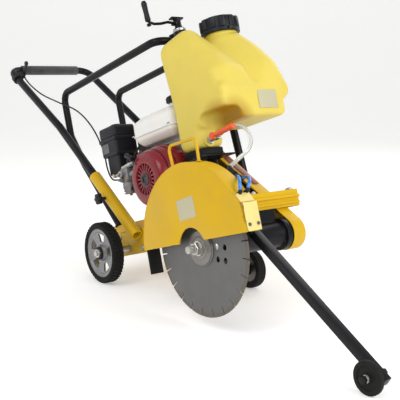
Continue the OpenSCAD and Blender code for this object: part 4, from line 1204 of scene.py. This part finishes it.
def frameTrim():
    bm = bmesh.new()
    for y in (-112, 112):
        weld(bm, (-93, y, 81.5), (-0.35, 0, 1), 13.4, 2.6, 24)
    weld(bm, (328, 98, 81), (-0.09, 0, 1), 12.6, 2.4, 22)
    weld(bm, (283, 98, 572), axisFar, 12.2, 2.0, 22)
    weld(bm, (365.4, -40, 90.5), (-0.114, 0, 0.99), 15.4, 2.4, 26)
    keep("frameWelds", bm, "frame", "blackPaint", crease=60)
    bm = bmesh.new()
    for y in (-148.5, 148.5):
        for x0, z0 in ((-38, 55), (60, 55)):
            tube(bm, [(x0 + 14 * i, y + (1.4 if i % 2 else 1), z0 - 1.2) for i in range(3)], 2.4, 8)
    keep("socketWelds", bm, "frame", "yellowPaint", crease=60)
    bolts("engineFeet", [((x, y, 94.2), axisUp, 9) for y in (-95, -19) for x in (118, 306)], "frame")
    spots = [((x, y, 80.2), axisUp, 8) for x in (458, 486) for y in (-96, -30)]
    spots += [((x, 70, 80.2), axisUp, 7) for x in (220, 520)]
    spots += [((531, y, 80.2), axisUp, 7.5) for y in (-66, 70)]
    bolts("deckBolts", spots, "frame")
    sides = [((x, s * 120.4, 57), (0, s, 0), 7) for x in (200, 420) for s in (-1, 1)]
    sides += [((x, s * 147.4, z), (0, s, 0), 8) for x, z in ((-46, 38), (78, -6)) for s in (-1, 1)]
    bolts("sideBolts", sides, "frame")
    bolts("beltGuardBolts", [((240, 48.2, 182), axisFar, 9), ((538, 48.2, -36), axisFar, 9),
                             ((390, 48.2, 74), axisFar, 7)],
          "frame")
    bm = bmesh.new()  # faded stripe along the belt guard's upper run
    start, end = Vector((293, 0, 248)), Vector((560, 0, 8))
    block(bm, (0, 20, 0), ((end - start).length * 0.56, 40, 0.8), 0.3,
          Matrix.Translation(start + Vector((0, 0, 1.6))) @ Matrix.Rotation(math.atan2(start.z - end.z,
                                                                                       end.x - start.x), 4,
                                                                                       "Y"))
    keep("beltGuardStripe", bm, "frame", "redPaint", crease=35)
    bm = bmesh.new()  # rolled lip along the deck's front edge
    lip = [(506, -122, 62), (510, -119, 62), (539.5, -88, 62), (539.5, 88, 62), (510, 119, 62), (506, 122, 62)]
    tube(bm, bend(lip, 8), 4.2, 16)
    keep("deckLip", bm, "frame", "yellowPaint", crease=60)
    bm = bmesh.new()  # small parts between the engine and the tank foot
    block(bm, (312, -106, 214), (334, -74, 246), 3)
    block(bm, (318, -112, 252), (336, -84, 272), 3)
    tube(bm, tubePoints([(326, -100, 250), (332, -112, 236), (326, -118, 214), (316, -114, 196)], 6), 2.6, 10)
    keep("ignitionCoil", bm, "frame", "blackPlastic", crease=35)
    bolts("coilBolts", [((323, -106.4, 238), axisNear, 5), ((323, -106.4, 222), axisNear, 5),
                        ((330, -112.4, 264), axisNear, 4)], "frame")
    bm = bmesh.new()
    tube(bm, bend([(120, -116, 92), (160, -118, 88), (300, -117, 86), (350, -80, 84)], 20), 3, 10)
    keep("oilDrain", bm, "frame", "softRubber", crease=60)


def pointerTrim():
    x, z, pivotX, pivotZ = stance["guideX"], guideZ, 690, -10
    lean = math.atan2(pivotZ - z, x - pivotX)
    bm = bmesh.new()
    lathe(bm, [(0, 0), (11, 0), (12, 1.5), (12, 5), (5.2, 6), (0, 6)], (pivotX, -248.2, pivotZ), axisNear, 32)
    keep("pointerWasher", bm, "frame", "steel", crease=35)
    bolts("pointerBolts", [((pivotX, -228, pivotZ), axisFar, 9), ((x, -276.4, z), axisNear, 7.5),
                           ((x - 30 * math.cos(lean), -248.4, z + 30 * math.sin(lean)), axisNear, 6)],
                           "pointer")


depthCrank()
handleParts()
hoses()
frameTrim()
pointerTrim()
print("controls, hoses and trim done")


def setRoom():
    room = {"floor": (0.86, 0.86, 0.85), "world": 0.55}
    f = Finish("paleFloor", Roughness=0.8, Emission_Color=(1, 1, 1, 1), Emission_Strength=0.3)
    f.feed("Base Color", f.mix(f.noise(2, 3), room["floor"], tint(room["floor"], 0.985)))
    bm = bmesh.new()
    edge, wall, radius = 9, 7, 3
    profile = [(-edge, 0)] + [(edge - radius + radius * math.sin(a), radius - radius * math.cos(a))
                              for a in (math.pi / 2 * i / 12 for i in range(13))] + [(edge, wall)]
    rows = [[bm.verts.new((side, y, z)) for y, z in profile] for side in (-14, 14)]
    for i in range(len(profile) - 1):
        bm.faces.new((rows[0][i], rows[1][i], rows[1][i + 1], rows[0][i + 1]))
    bm.transform(Matrix.Rotation(math.radians(52), 4, "Z"))
    mesh = release(bm, "floor")
    mesh.shade_smooth()
    mesh.materials.append(f.material)
    floor = link("floor", mesh)
    world = bpy.data.worlds.new("studio")
    bpy.context.scene.world = world
    world.use_nodes = True
    sky = world.node_tree.nodes["Background"].inputs
    sky["Color"].default_value, sky["Strength"].default_value = (1, 1, 1, 1), room["world"]
    bpy.context.scene.view_settings.view_transform = "Standard"
    for name, place, size, power in (("key", (0.9, -3.2, 3.2), 2.2, 62), ("fill", (-2.6, -2.4, 1.8), 3.0, 14),
                                     ("front", (3.4, 0.4, 1.9), 2.2, 70), ("rim", (-0.5, 3.2, 2.8), 2.4, 30)):
        light = bpy.data.lights.new(name, "AREA")
        light.energy, light.size = power, size
        lamp = link(name, light)
        lamp.matrix_world = (Matrix.Translation(place)
                             @ (Vector((0, 0, 0.35)) - Vector(place)).to_track_quat("-Z",
                                                                                    "Y").to_matrix().to_4x4())


setRoom()
print("room and lights set")
